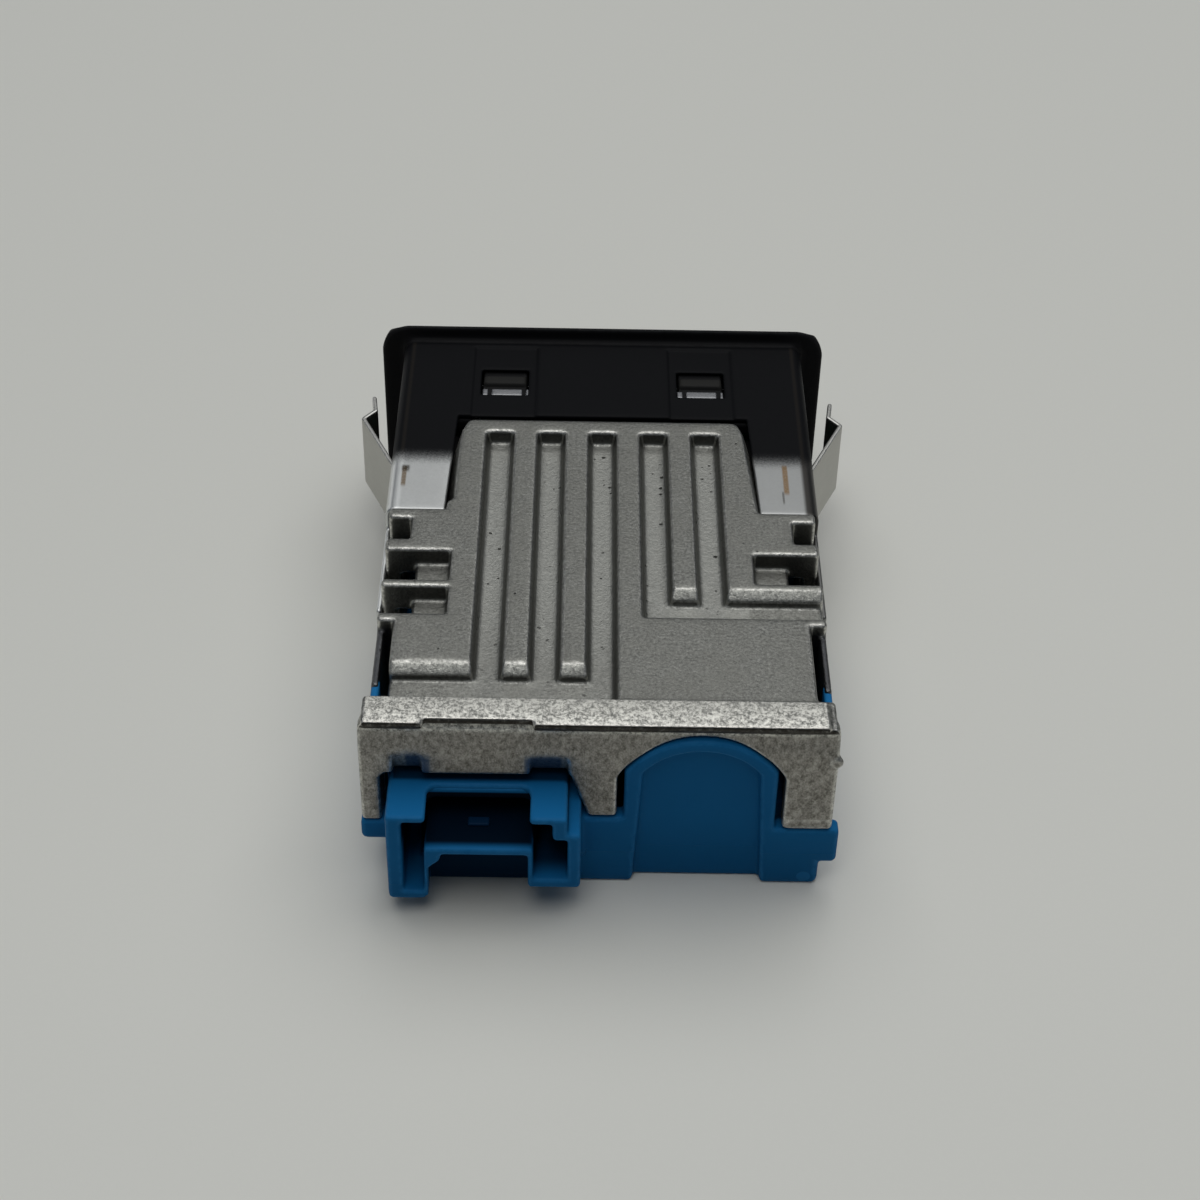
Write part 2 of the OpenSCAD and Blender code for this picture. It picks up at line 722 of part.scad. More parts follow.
module rear_housing() {
    y_end = y_rear + shroud_in;
    x_floor = min(cheek_in, half - hem_w) - fit;
    color("#2f6fb0") placed() difference() {
        union() {
            along_y(y_rear, y_rear + rear_t) tray_face();
            along_y(y_rear - shroud_l, y_end) shroud_face();
            block(-tray_half, tray_half, y_rear + 0.5, y_cheek - fit, z_base, z_base + floor_t);
            block(-x_floor, x_floor, y_cheek - 1, -sleeve_l - fit, z_base, z_base + floor_t);
            block(shroud_x - 0.35, side - 0.55, y_rear + 0.5, y_rear + foot_l, 0, z_base + eps);
            both() {
                block(tray_half - tray_wall, tray_half, y_rear + 0.5, y_cheek - fit, z_base, z_split - fit);
                block(tray_half - tray_wall, side, y_rear + 0.5, y_cheek - fit, z_split - tray_rim, z_split - fit);
                block(side - 0.75, side, y_snap, y_snap + snap_l, z_split - tray_rim, z_cover - 1.5);
                block(3, 6, -sleeve_l - 4, -sleeve_l - fit, z_base + floor_t - eps,
                    z_plug0 + plug_wall + 1.3);
                block(3, 6, -sleeve_l - 4, -sleeve_l + 2, z_plug0 + plug_wall + 0.05,
                    z_plug0 + plug_wall + 1.3);
                for (d = [12, 38]) translate([board_w / 2 - 2.6, y_rear + d, z_base + 0.5])
                    cylinder(d = post_dia, h = z_post - z_base - 0.5);
                translate([board_w / 2 - 2.6, y_rear + 12, z_base + 0.5])
                    cylinder(d = peg_dia, h = z_board + 0.4 - z_base - 0.5);
            }
        }
        along_y(y_rear - shroud_l - 1, y_end - 1.2) shroud_cavity();
        along_z(z_shroud - shroud_wall - 0.2, z_shroud + 1)
            rounded(notch_x, notch_x + notch_w, y_rear - shroud_l - 2, y_rear - 0.2, 0.8);
        along_y(y_rear - 1, y_rear + recess_d) recess_face();
        for (i = pin_x) block(pin_mid + i * pin_pitch - pin_w / 2, pin_mid + i * pin_pitch + pin_w / 2,
            y_end - 2, y_end + 1, z_pin - pin_w / 2, z_pin + pin_w / 2);
    }
}

// Circuit board and header pins

module circuit_board() {
    color("#1f5a35") placed() difference() {
        block(-board_w / 2, board_w / 2, y_board, y_board_front, z_post, z_board);
        for (i = pin_x) translate([pin_mid + i * pin_pitch, y_pin_down, z_post - 1])
            cylinder(d = pin_w * 1.6, h = board_t + 2);
        for (s = [-1, 1]) translate([s * (board_w / 2 - 2.6), y_rear + 12, z_post - 1])
            cylinder(d = peg_dia + 2 * fit, h = board_t + 2);
    }
}

module header_pins() {
    color("#c9a84a") placed() for (i = pin_x) {
        x = pin_mid + i * pin_pitch;
        block(x - pin_w / 2, x + pin_w / 2, y_rear + pin_set, y_pin_down + pin_w / 2,
            z_pin - pin_w / 2, z_pin + pin_w / 2);
        block(x - pin_w / 2, x + pin_w / 2, y_pin_down - pin_w / 2, y_pin_down + pin_w / 2,
            z_post - 0.8, z_pin);
    }
}

// Ports: drawn shell, insulating tongue and its contact strips

module port_shell(x) {
    y1 = y_face - port_set;
    translate([x, 0, z_mid]) along_y(y1 - port_l, y1) difference() {
        stadium(port_w, port_h);
        stadium(port_w - 2 * shell_t, port_h - 2 * shell_t);
    }
}

module port_tongue(x) {
    y1 = y_face - port_set;
    y0 = y1 - port_l;
    translate([x, 0, z_mid]) {
        along_y(y0, y0 + 2.4) stadium(port_w - 2 * shell_t - 0.04, port_h - 2 * shell_t - 0.04);
        block(-blade_w / 2, blade_w / 2, y0 + 2, y1 - 0.8, -blade_t / 2, blade_t / 2);
    }
}

module port_contacts(x) {
    y1 = y_face - port_set;
    y0 = y1 - port_l;
    translate([x, 0, z_mid]) for (i = [-5.5 : 5.5], s = [-1, 1])
        translate([i * 0.5, (y0 + 2.4 + y1 - 1.2) / 2, s * (blade_t / 2 + 0.05)])
            cube([0.25, y1 - y0 - 3.6, 0.1], center = true);
}

module left_port_shell() {
    color("#b9bcc0") placed() port_shell(-port_x);
}

module left_port_tongue() {
    color("#202022") placed() port_tongue(-port_x);
}

module left_port_contacts() {
    color("#d2b04c") placed() port_contacts(-port_x);
}

module right_port_shell() {
    color("#b9bcc0") placed() port_shell(port_x);
}

module right_port_tongue() {
    color("#202022") placed() port_tongue(port_x);
}

module right_port_contacts() {
    color("#d2b04c") placed() port_contacts(port_x);
}

// Parts on the circuit board

module thermal_pad() {
    color("#9aa0b4") placed() block(-groove_pitch - 3, groove_pitch + 3, y_rear + 22, y_rear + 33,
        z_board + chip_h, z_board + chip_h + pad_t);
}

module converter_chips() {
    color("#232326") placed() both() translate([4.4 - chip_w / 2, y_rear + 27.5 - chip_w / 2, z_board])
        cube([chip_w, chip_w, chip_h]);
}

module power_inductors() {
    color("#4a4a4d") placed() both() translate([8 - coil_w / 2, y_rear + 39.5 - coil_w / 2, z_board])
        cube([coil_w, coil_w, coil_h]);
}

module power_transistors() {
    color("#2a2a2c") placed() both() for (x = [2.2, 6])
        translate([x - fet_w / 2, y_rear + 18.6 - fet_w / 2, z_board])
            cube([fet_w, fet_w, chip_h]);
}

module filter_capacitors() {
    color("#b4b7ba") placed() both() translate([11.4, y_rear + 18, z_board])
        cylinder(d = cap_dia, h = cap_h);
}

module chip_components() {
    color("#b9a58a") placed() for (i = [0 : 8])
        block(-10.4 + i * 2.6 - 0.8, -10.4 + i * 2.6 + 0.8, y_rear + 10.1, y_rear + 10.9,
            z_board, z_board + 0.8);
}

bezel_frame();
port_face();
front_sleeve();
left_spring_arm();
right_spring_arm();
cast_cover();
rear_housing();
circuit_board();
header_pins();
left_port_shell();
left_port_tongue();
left_port_contacts();
right_port_shell();
right_port_tongue();
right_port_contacts();
thermal_pad();
power_inductors();
converter_chips();
power_transistors();
filter_capacitors();
chip_components();
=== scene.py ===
"""Looks of a car USB socket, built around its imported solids.

Each visible solid is turned into a mesh with rounded edges and fillets, and gets a finish made of nodes.
The file is laid out as an add-on: every piece has an operator, and the sidebar panel lists them.
"""

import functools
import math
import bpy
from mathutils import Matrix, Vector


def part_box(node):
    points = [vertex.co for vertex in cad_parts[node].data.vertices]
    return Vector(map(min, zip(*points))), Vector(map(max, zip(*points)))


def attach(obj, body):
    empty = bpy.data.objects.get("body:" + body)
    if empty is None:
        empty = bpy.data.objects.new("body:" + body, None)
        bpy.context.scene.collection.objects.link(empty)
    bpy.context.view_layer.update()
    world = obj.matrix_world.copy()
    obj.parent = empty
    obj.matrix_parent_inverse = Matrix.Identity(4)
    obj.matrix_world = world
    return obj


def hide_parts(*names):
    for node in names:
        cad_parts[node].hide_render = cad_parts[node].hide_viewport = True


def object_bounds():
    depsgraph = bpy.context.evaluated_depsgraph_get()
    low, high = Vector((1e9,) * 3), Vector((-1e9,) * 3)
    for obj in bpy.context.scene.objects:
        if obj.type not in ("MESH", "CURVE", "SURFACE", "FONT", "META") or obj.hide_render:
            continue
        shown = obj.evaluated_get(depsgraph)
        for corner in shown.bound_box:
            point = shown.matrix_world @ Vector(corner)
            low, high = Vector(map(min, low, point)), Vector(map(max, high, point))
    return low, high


bl_info = {
    "name": "Car USB socket looks",
    "version": (1, 0, 0),
    "blender": (4, 5, 0),
    "location": "3D View > Sidebar > Socket",
    "description": "Rounds the edges of a car USB socket and gives its pieces their finishes",
    "category": "Object",
}

import bpy
import numpy as np
import openvdb as vdb
from bpy.props import FloatProperty, FloatVectorProperty, IntProperty, PointerProperty
from mathutils import Matrix, Vector

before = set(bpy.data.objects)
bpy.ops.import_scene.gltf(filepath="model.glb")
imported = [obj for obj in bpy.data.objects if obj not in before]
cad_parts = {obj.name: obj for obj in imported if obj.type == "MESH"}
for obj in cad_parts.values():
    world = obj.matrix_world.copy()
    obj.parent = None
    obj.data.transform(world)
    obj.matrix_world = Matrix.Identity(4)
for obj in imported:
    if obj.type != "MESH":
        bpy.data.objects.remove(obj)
CAD_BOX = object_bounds()
MM = 0.001

# Places and sizes that the pieces share, in millimetres
WINDOW_X = 9.9
HOOK_HALF = 2.6
LEDGE_X = 9.82
TOP_SHEET_Z = 16.9
BEND_X = 19.45
FLANGE_BACK = 30.68
FLANGE_R = 2.2
FLANGE_ROUND = 3.0
LEDGE_Y = (21.15, 22.35)
LEDGE_Z = (17.0, 17.45)
LEDGE_PARTS = {"outer": (-2.35, -1.72), "middle": (-1.42, 1.72), "inner": (2.02, 2.4)}
LINTEL_X = (-15.2, -5.6)
LINTEL_Y = (-29.05, -28.2)
LINTEL_Z = (10.38, 11.5)
LINTEL_R = 0.9
LINTEL_STEPS = 49
KEY_PAD = ((-11.4, -30.3, 8.1), (-9.5, -29.3, 8.5))
STRIP_THICKNESS = 0.1
TONGUE_THICKNESS = 0.7

# Radii of the edges and fillets that have no setting of their own, in metres
FINE_FILLET = 0.1 * MM
PLATE_EDGE = 0.15 * MM
PAD_EDGE = 0.12 * MM
ARM_FILLET = 0.15 * MM
SMALL_EDGE = 0.08 * MM
SMALL_FILLET = 0.06 * MM

# Cells of single pieces, as a share of the setting
FLANGE_CELL = 1.25
SHEET_CELL = 0.8
ARM_CELL = 0.6
LINTEL_CELL = 0.6
PAD_CELL = 0.5
PORT_CELL = 0.5
LEDGE_CELL = 0.4

# Parts of the casting that look different: the low and high corner of a box and how soft its sides are, in mm
# The lip, whose top gets a painted highlight
LIP = ((-30, -29.6, 17.3), (30, -25.0, 20), (0.5, 0.3, 0.5))
GROOVE_FLOORS = ((-13.5, -25.0, 15.9), (13.5, 14.2, 17.6), (0.4, 0.4, 0.6))
# Painted shade on the walls of the grooves
SHADED_GROOVE_WALLS = ((-30, -25.4, 10), (30, 16.5, 18.4), (0.3, 0.3, 0.2))
# Painted highlight on the slopes at the ends of the ribs
LIT_RIB_ENDS = ((-30, -25.2, 15.8), (30, 16.5, 18.7), (0.3, 0.3, 0.3))
# Painted shadow under the top edge of the lip; the notch below is left out
NOSE_SHADOW = ((-30, -30, 17.75), (30, -27.9, 19), (0.3, 0.2, 0.2))
LIP_NOTCH = ((-15.3, -30, 17.3), (-5.6, -27.9, 18.35), (0.2, 0.2, 0.12))
# Painted reflections of the blue shroud on the wall above it
BLUE_REFLECTIONS = (
    ((-16.8, -30, 11), (-14.4, -27, 15.6), (0.35, 0.2, 1.0)),
    ((-6.7, -30, 11), (-3.2, -27, 15.6), (0.35, 0.2, 1.0)),
)
# Painted shade inside the side slots
SIDE_SLOT_SHADE = (
    ((-22, -25.2, 2), (-18.9, -12.6, 17.5), (0.2, 0.2, 0.5)),
    ((18.9, -25.2, 2), (22, -12.6, 17.5), (0.2, 0.2, 0.5)),
)

# Where a look of the casting fades along Y, in mm, and how far the shading of the lip leans to the rear
GROOVE_FADE_Y = (-24.0, -6.0)
REAR_WALL_Y = (-27.2, -26.6)
# Where the painted highlight on the lip fades
LIP_FADE_Y = (-28.9, -25.6)
LIP_TILT = -0.22

# Boxes of the same kind on the blue housing where shadow and shade are painted, behind the shroud and in the
# connector's mouth; the span in Z over which painted shade grows towards its foot, the mark of a pin and the
# parting line
SHROUD_SHADOW = ((-18.0, -28.6, 11.2), (-2.2, -26, 13), (0.3, 0.5, 0.3))
# Painted shade in the connector's mouth, its leg pockets and under it
MOUTH_SHADE = ((-17.0, -33.0, 8.0), (-2.65, -20, 11.2), (0.1, 1.0, 0.2))
LEG_POCKET_SHADE = ((-17.0, -32.6, 2.9), (-2.65, -20, 10.8), (0.05, 2.2, 2.5))
UNDER_MOUTH_SHADE = ((-14.95, -32.5, -1), (-6.1, -28.2, 7.6), (0.1, 0.6, 0.2))
LOW_SHADE_Z = (1.5, 8.0)
PIN_MIDDLE = (18.2, 0.95)
PIN_RIM = (0.55, 0.66)
PIN_FACE_Y = (-28.4, -28.0)
PARTING_Z = 3.8

# Boxes of the same kind around the snap hooks of the front moulding, where a highlight is painted
HOOK_HIGHLIGHTS = tuple(
    ((x - HOOK_HALF, 22.3, 17.22), (x + HOOK_HALF, 26.3, 18.2), (0.5, 0.9, 0.1))
    for x in (-WINDOW_X, WINDOW_X)
)

# The half of the sleeve with painted shade, and where it folds down: at its left with a painted highlight, at
# its right with painted shade, in millimetres
SHADED_HALF_X = (-1.0, 1.0)
LIT_LEFT_BEND_X = (-19.4, -19.0)
SHADED_RIGHT_BEND_X = (19.0, BEND_X)
BEND_SHADE_FOOT_Z = (14.4, 16.0)

# Rubs on the tabs of the sleeve: middle in X, ends in Y, half width in millimetres, colour and strength
RUST, OLD_RUST, DARK_RUST = (0.24, 0.15, 0.07, 1.0), (0.16, 0.1, 0.04, 1.0), (0.03, 0.022, 0.012, 1.0)
TAB_RUBS = (
    (-19.05, 5.6, 8.5, 0.3, OLD_RUST, 0.8),
    (-18.95, 7.9, 8.7, 0.5, DARK_RUST, 0.85),
    (17.6, 5.1, 9.5, 0.34, RUST, 0.9),
    (17.25, 3.6, 5.3, 0.14, DARK_RUST, 0.6),
)

# Finishes with one grain: what differs from the defaults of one_grain
PLAIN_FINISHES = {
    # A copy of the blue made darker: painted shade on the key pad deep in the mouth
    "key_pad": dict(colour=(0.002, 0.02, 0.055), rough=0.5, spread=0.1, specular=0.05),
    "dark_plastic": dict(colour=(0.012, 0.012, 0.013), rough=0.22, contrast=1.0, spread=0.2, specular=0.4),
    "ledge_sheet": dict(colour=(0.26, 0.262, 0.268), metallic=1.0, rough=0.36, contrast=2.0, spread=0.25),
    "shell_steel": dict(colour=(0.62, 0.63, 0.65), metallic=1.0, rough=0.3, size=0.25, spread=0.1),
    "tongue_plastic": dict(colour=(0.015, 0.015, 0.016), rough=0.45, spread=0.2),
    "contact_metal": dict(colour=(0.83, 0.6, 0.24), metallic=1.0, rough=0.28, contrast=1.0, spread=0.08),
    "pad_rubber": dict(colour=(0.35, 0.37, 0.45), rough=0.8, size=0.3, contrast=1.0, spread=0.1),
    "coil_ferrite": dict(colour=(0.07, 0.07, 0.075), rough=0.6, contrast=2.0, spread=0.3),
    "chip_plastic": dict(colour=(0.02, 0.02, 0.021), rough=0.5, size=0.15, contrast=1.4, spread=0.25),
    "can_aluminium": dict(
        colour=(0.75, 0.76, 0.78), metallic=1.0, rough=0.3, size=0.3, contrast=1.0, spread=0.08
    ),
    "chip_ceramic": dict(colour=(0.42, 0.33, 0.22), rough=0.5, spread=0.2),
}
BOARD_PARTS = {
    "header_pins": "contact_metal",
    "thermal_pad": "pad_rubber",
    "power_inductors": "coil_ferrite",
    "converter_chips": "chip_plastic",
    "power_transistors": "chip_plastic",
    "filter_capacitors": "can_aluminium",
    "chip_components": "chip_ceramic",
}

# Camera and lamps, in metres
CAMERA_PLACE = (-0.00206, -0.16955, 0.1508)
CAMERA_RIGHT = (0.99985, 0.00266, 0.01723)
CAMERA_UP = (-0.01491, 0.64299, 0.76573)
CAMERA_BACK = (-0.00904, -0.76587, 0.64294)
CAMERA_SENSOR = 36.0
CAMERA_CLIP = (0.01, 20.0)
FLOOR_HALF = 3.0
SKY_COLOUR = (0.84, 0.96, 1.12, 1.0)
LAMPS = {
    "ceiling": dict(place=(0.12, 0.42, 0.88), target=(0.12, 0.42, 0), size=1.3),
    "key": dict(place=(-0.05, -0.26, 0.6), target=(0, 0, 0), size=0.3),
    "side": dict(place=(-0.6, 0.7, 0.13), target=(0, 0, 0), size=0.4),
}

# How deep the middle of a rounded right angle lies, as a share of the radius
MIDDLE_DEPTH = 0.29

# How nodes are laid out in the editor
NODES_A_ROW = 12
NODE_WIDTH = 220
NODE_HEIGHT = 260


# Settings that a user would change


class SocketEdges(bpy.types.PropertyGroup):
    """Radii of the rounded edges and of the fillets"""

    cast_edge: FloatProperty(
        name="Cast edges", description="Radius of the outer edges of the casting",
        default=0.2 * MM, subtype="DISTANCE",
    )
    cast_fillet: FloatProperty(
        name="Cast fillets", description="Radius in the corners of the casting",
        default=0.26 * MM, subtype="DISTANCE",
    )
    blue_edge: FloatProperty(
        name="Housing edges", description="Radius of the outer edges of the housing",
        default=0.27 * MM, subtype="DISTANCE",
    )
    blue_fillet: FloatProperty(
        name="Housing fillets", description="Radius in the corners of the housing",
        default=0.28 * MM, subtype="DISTANCE",
    )
    bezel_edge: FloatProperty(
        name="Bezel edges", description="Radius of the edges of the flange",
        default=0.12 * MM, subtype="DISTANCE",
    )
    sheet_edge: FloatProperty(
        name="Sheet edges", description="Radius of the cut edges of the sheet metal",
        default=0.1 * MM, subtype="DISTANCE",
    )
    cell: FloatProperty(
        name="Cell", description="Size of the cells in which edges are rounded",
        default=0.12 * MM, subtype="DISTANCE",
    )


class SocketFinish(bpy.types.PropertyGroup):
    """Colours of the finishes, and where the black coating of the sleeve ends"""

    cast: FloatVectorProperty(
        name="Casting", description="Colour of the die-cast metal", subtype="COLOR",
        default=(0.208, 0.209, 0.194), min=0, max=1,
    )
    steel: FloatVectorProperty(
        name="Sheet", description="Colour of the bare sheet", subtype="COLOR",
        default=(0.52, 0.527, 0.515), min=0, max=1,
    )
    spring: FloatVectorProperty(
        name="Spring", description="Colour of the spring arms", subtype="COLOR",
        default=(0.44, 0.435, 0.405), min=0, max=1,
    )
    coating: FloatVectorProperty(
        name="Coating", description="Colour of the black coating", subtype="COLOR",
        default=(0.004, 0.0042, 0.005), min=0, max=1,
    )
    blue: FloatVectorProperty(
        name="Housing", description="Colour of the blue housing", subtype="COLOR",
        default=(0.008, 0.124, 0.308), min=0, max=1,
    )
    black: FloatVectorProperty(
        name="Bezel", description="Colour of the black plastic", subtype="COLOR",
        default=(0.0066, 0.0066, 0.0071), min=0, max=1,
    )
    coating_end: FloatProperty(
        name="Coating end", description="Where the black coating of the sleeve ends",
        default=10.3 * MM, subtype="DISTANCE",
    )
    coating_fade: FloatProperty(
        name="Coating fade", description="Length over which the coating thins out",
        default=3.2 * MM, subtype="DISTANCE",
    )


class SocketContacts(bpy.types.PropertyGroup):
    """Contact strips in the ports"""

    count: IntProperty(
        name="Strips", description="Contact strips on each side of a tongue", default=12, min=2, max=16
    )
    pitch: FloatProperty(
        name="Pitch", description="Distance between strips", default=0.5 * MM, subtype="DISTANCE"
    )
    width: FloatProperty(name="Width", description="Width of a strip", default=0.25 * MM, subtype="DISTANCE")


class SocketStage(bpy.types.PropertyGroup):
    """Floor, light and camera"""

    floor: FloatVectorProperty(
        name="Floor", description="Colour of the floor", subtype="COLOR",
        default=(0.767, 0.764, 0.705), min=0, max=1,
    )
    sky: FloatProperty(name="Sky", description="Strength of the light from all round", default=0.09, min=0)
    ceiling: FloatProperty(
        name="Ceiling", description="Power of the wide light above", default=6.2, min=0, unit="POWER"
    )
    key: FloatProperty(
        name="Key light", description="Power of the small soft light", default=0.55, min=0, unit="POWER"
    )
    side: FloatProperty(
        name="Side light", description="Power of the low light far left", default=0.35, min=0, unit="POWER"
    )
    lens: FloatProperty(
        name="Lens", description="Focal length of the camera", default=69.0, min=10, subtype="DISTANCE_CAMERA"
    )


# Node trees


class Nodes:
    """Short calls that add nodes to one tree"""

    def __init__(self, tree):
        self.tree = tree

    def node(self, kind, inputs=None, **props):
        """Adds a node, with the values of its own properties and of its inputs."""
        n = self.tree.nodes.new(kind)
        row, column = divmod(len(self.tree.nodes), NODES_A_ROW)
        n.location = (NODE_WIDTH * column, -NODE_HEIGHT * row)
        for key, value in props.items():
            setattr(n, key, value)
        for key, value in (inputs or {}).items():
            self.put(n.inputs[key], value)
        return n

    def put(self, socket, value):
        """Links an input to a socket, or sets it to a constant."""
        if isinstance(value, bpy.types.NodeSocket):
            self.tree.links.new(value, socket)
        else:
            socket.default_value = value

    def math(self, operation, a, b=0.0, clamp=False):
        return self.node("ShaderNodeMath", {0: a, 1: b}, operation=operation, use_clamp=clamp).outputs[0]

    def times(self, product, *others):
        for other in others:
            product = self.math("MULTIPLY", product, other)
        return product

    def less(self, a, b):
        return self.math("SUBTRACT", a, b)

    def distance(self, a, b):
        return self.math("ABSOLUTE", self.less(a, b))

    def inverse(self, mask):
        return self.math("SUBTRACT", 1.0, mask, clamp=True)

    def ramp(self, value, low, high, to_low=0.0, to_high=1.0):
        """A smooth step from to_low at low to to_high at high."""
        inputs = {"Value": value, "From Min": low, "From Max": high, "To Min": to_low, "To Max": to_high}
        return self.node("ShaderNodeMapRange", inputs, interpolation_type="SMOOTHSTEP").outputs["Result"]

    def fall(self, value, low, high):
        """A smooth step from one at low to nought at high."""
        return self.ramp(value, low, high, 1.0, 0.0)

    def mix_colour(self, factor, a, b):
        return self.node("ShaderNodeMix", {0: factor, 6: a, 7: b}, data_type="RGBA").outputs[2]

    def mix_value(self, factor, a, b):
        return self.node("ShaderNodeMix", {0: factor, 2: a, 3: b}, data_type="FLOAT").outputs[0]

    def split(self, vector):
        return self.node("ShaderNodeSeparateXYZ", {0: vector}).outputs

    def vector(self, operation, **inputs):
        """A vector calculation; its inputs are a, b and scale."""
        keys = {"a": 0, "b": 1, "scale": "Scale"}
        given = {keys[key]: value for key, value in inputs.items()}
        return self.node("ShaderNodeVectorMath", given, operation=operation).outputs[0]

    def noise(self, place, scale, detail, roughness):
        inputs = {"Vector": place, "Scale": scale, "Detail": detail, "Roughness": roughness}
        return self.node("ShaderNodeTexNoise", inputs).outputs["Fac"]


def kept(collection, name):
    """Lets a function make a group or a material once. Later calls find what is there."""

    def wrap(make):
        @functools.wraps(make)
        def find():
            ready = getattr(bpy.data, collection)
            return ready[name] if name in ready else make(name)

        return find

    return wrap


def shader_group(name, sizes, results):
    """An empty shader group that reads a position and sizes, with its inputs and its results."""
    tree = bpy.data.node_groups.new(name, "ShaderNodeTree")
    tree.interface.new_socket("Position", in_out="INPUT", socket_type="NodeSocketVector")
    for label, size in sizes.items():
        socket = tree.interface.new_socket(label, in_out="INPUT", socket_type="NodeSocketFloat")
        socket.default_value = size
    for label in results:
        tree.interface.new_socket(label, in_out="OUTPUT", socket_type="NodeSocketFloat")
    g = Nodes(tree)
    return g, g.node("NodeGroupInput").outputs, g.node("NodeGroupOutput").inputs


@kept("node_groups", "fine_grain")
def grain_group(name):
    """Fine mottled grain: a value around a half."""
    g, given, result = shader_group(name, {"Size": 0.3, "Contrast": 1.0}, ["Value"])
    scale = g.math("DIVIDE", 1.0, given["Size"])
    coarse = g.noise(given["Position"], scale, detail=3.0, roughness=0.65)
    speck = g.noise(given["Position"], g.times(scale, 3.1), detail=2.0, roughness=0.6)
    swing = g.times(g.less(g.mix_value(0.4, coarse, speck), 0.5), given["Contrast"])
    g.put(result["Value"], g.math("ADD", swing, 0.5, clamp=True))
    return g.tree


@kept("node_groups", "casting_pits")
def pits_group(name):
    """Sparse round pits, as a mask."""
    g, given, result = shader_group(name, {"Spacing": 1.2, "Radius": 0.12, "Share": 0.3}, ["Mask"])
    scale = g.math("DIVIDE", 1.0, given["Spacing"])
    jitter = g.node("ShaderNodeTexNoise", {"Vector": given["Position"], "Scale": 6.0, "Detail": 1.0})
    place = g.vector("ADD", a=given["Position"], b=g.vector("SCALE", a=jitter.outputs["Color"], scale=0.16))
    cells = g.node("ShaderNodeTexVoronoi", {"Vector": place, "Scale": scale, "Randomness": 1.0}).outputs
    luck = g.node("ShaderNodeSeparateColor", {"Color": cells["Color"]}).outputs
    chosen = g.math("LESS_THAN", luck[0], given["Share"])
    reach = g.times(given["Radius"], g.math("ADD", luck[1], 0.35), scale)
    inside = g.inverse(g.math("DIVIDE", cells["Distance"], reach))
    g.put(result["Mask"], g.times(g.ramp(inside, 0.0, 0.6), chosen))
    return g.tree


@kept("node_groups", "worn_edges")
def wear_group(name):
    """Rubbed outer edges and inner corners, from the mesh's own edge attribute, broken up by noise."""
    g, given, result = shader_group(name, {"Size": 1.0}, ["Edge", "Corner"])
    edge = g.node("ShaderNodeAttribute", attribute_name="edge").outputs["Fac"]
    scale = g.math("DIVIDE", 1.0, given["Size"])
    noise = g.noise(given["Position"], scale, detail=4.0, roughness=0.7)
    patch = g.ramp(noise, 0.3, 0.62, 0.25, 1.0)
    g.put(result["Edge"], g.times(g.ramp(edge, 0.12, 0.8), patch))
    g.put(result["Corner"], g.times(g.ramp(g.times(edge, -1.0), 0.1, 0.8), patch))
    return g.tree


@kept("node_groups", "broad_patches")
def smudge_group(name):
    """Broad uneven patches, as handling and moulding leave them."""
    g, given, result = shader_group(name, {"Size": 6.0}, ["Value"])
    scale = g.math("DIVIDE", 1.0, given["Size"])
    noise = g.noise(given["Position"], scale, detail=5.0, roughness=0.6)
    g.put(result["Value"], g.ramp(noise, 0.28, 0.72))
    return g.tree


# Finishes


def shade(colour, factor, green=1.0, blue=1.0):
    """A colour made lighter or darker by a factor, with less or more green and blue."""
    return (colour[0] * factor, colour[1] * factor * green, colour[2] * factor * blue, 1.0)


class Finish(Nodes):
    """A material in the making: its shader, its colour so far and the place on the object in millimetres"""

    def __init__(self, name):
        self.material = bpy.data.materials.new(name)
        self.material.use_nodes = True
        super().__init__(self.material.node_tree)
        self.tree.nodes.clear()
        out = self.node("ShaderNodeOutputMaterial")
        self.shader = self.node("ShaderNodeBsdfPrincipled")
        self.put(out.inputs["Surface"], self.shader.outputs[0])
        self.place = self.vector("SCALE", a=self.node("ShaderNodeTexCoord").outputs["Object"], scale=1 / MM)
        self.x, self.y, self.z = self.split(self.place)
        self.colour = None

    def group(self, tree, place=None, **sizes):
        inputs = {"Position": self.place if place is None else place, **sizes}
        return self.node("ShaderNodeGroup", inputs, node_tree=tree).outputs

    def grain(self, size, contrast, place=None):
        return self.group(grain_group(), place, Size=size, Contrast=contrast)[0]

    def stretched_grain(self, scale, size, contrast):
        """Grain that is drawn out along the axes whose scale is small."""
        place = self.node("ShaderNodeMapping", {"Vector": self.place, "Scale": scale}).outputs[0]
        return self.grain(size, contrast, place)

    def patches(self, size):
        return self.group(smudge_group(), Size=size)[0]

    def pits(self, spacing, radius, share):
        return self.group(pits_group(), Spacing=spacing, Radius=radius, Share=share)[0]

    def wear(self, size):
        """Masks of the rubbed edges and of the corners."""
        return self.group(wear_group(), Size=size)

    def normal(self):
        return self.node("ShaderNodeNewGeometry").outputs["Normal"]

    def box(self, region):
        """One inside a box and nought outside it, with soft sides."""
        sides = []
        for at, low, high, soft in zip((self.x, self.y, self.z), *region):
            sides += [self.ramp(at, low, low + soft), self.fall(at, high - soft, high)]
        return self.times(*sides)

    def lay(self, mask, colour, strength=1.0):
        """Lays a colour over the one so far, where the mask is."""
        self.colour = self.mix_colour(self.times(mask, strength), self.colour, colour)

    def bump(self, height, strength, depth, under=None):
        """A normal with relief; the depth is in millimetres."""
        inputs = {"Height": height, "Strength": strength, "Distance": depth * MM}
        if under is not None:
            inputs["Normal"] = under
        return self.node("ShaderNodeBump", inputs).outputs[0]

    def close(self, rough, normal=None, metallic=0.0, specular=0.5):
        """Joins the results to the shader and gives the material."""
        results = {"Base Color": self.colour, "Roughness": rough, "Metallic": metallic}
        results["Specular IOR Level"] = specular
        if normal is not None:
            results["Normal"] = normal
        for socket, value in results.items():
            self.put(self.shader.inputs[socket], value)
        return self.material


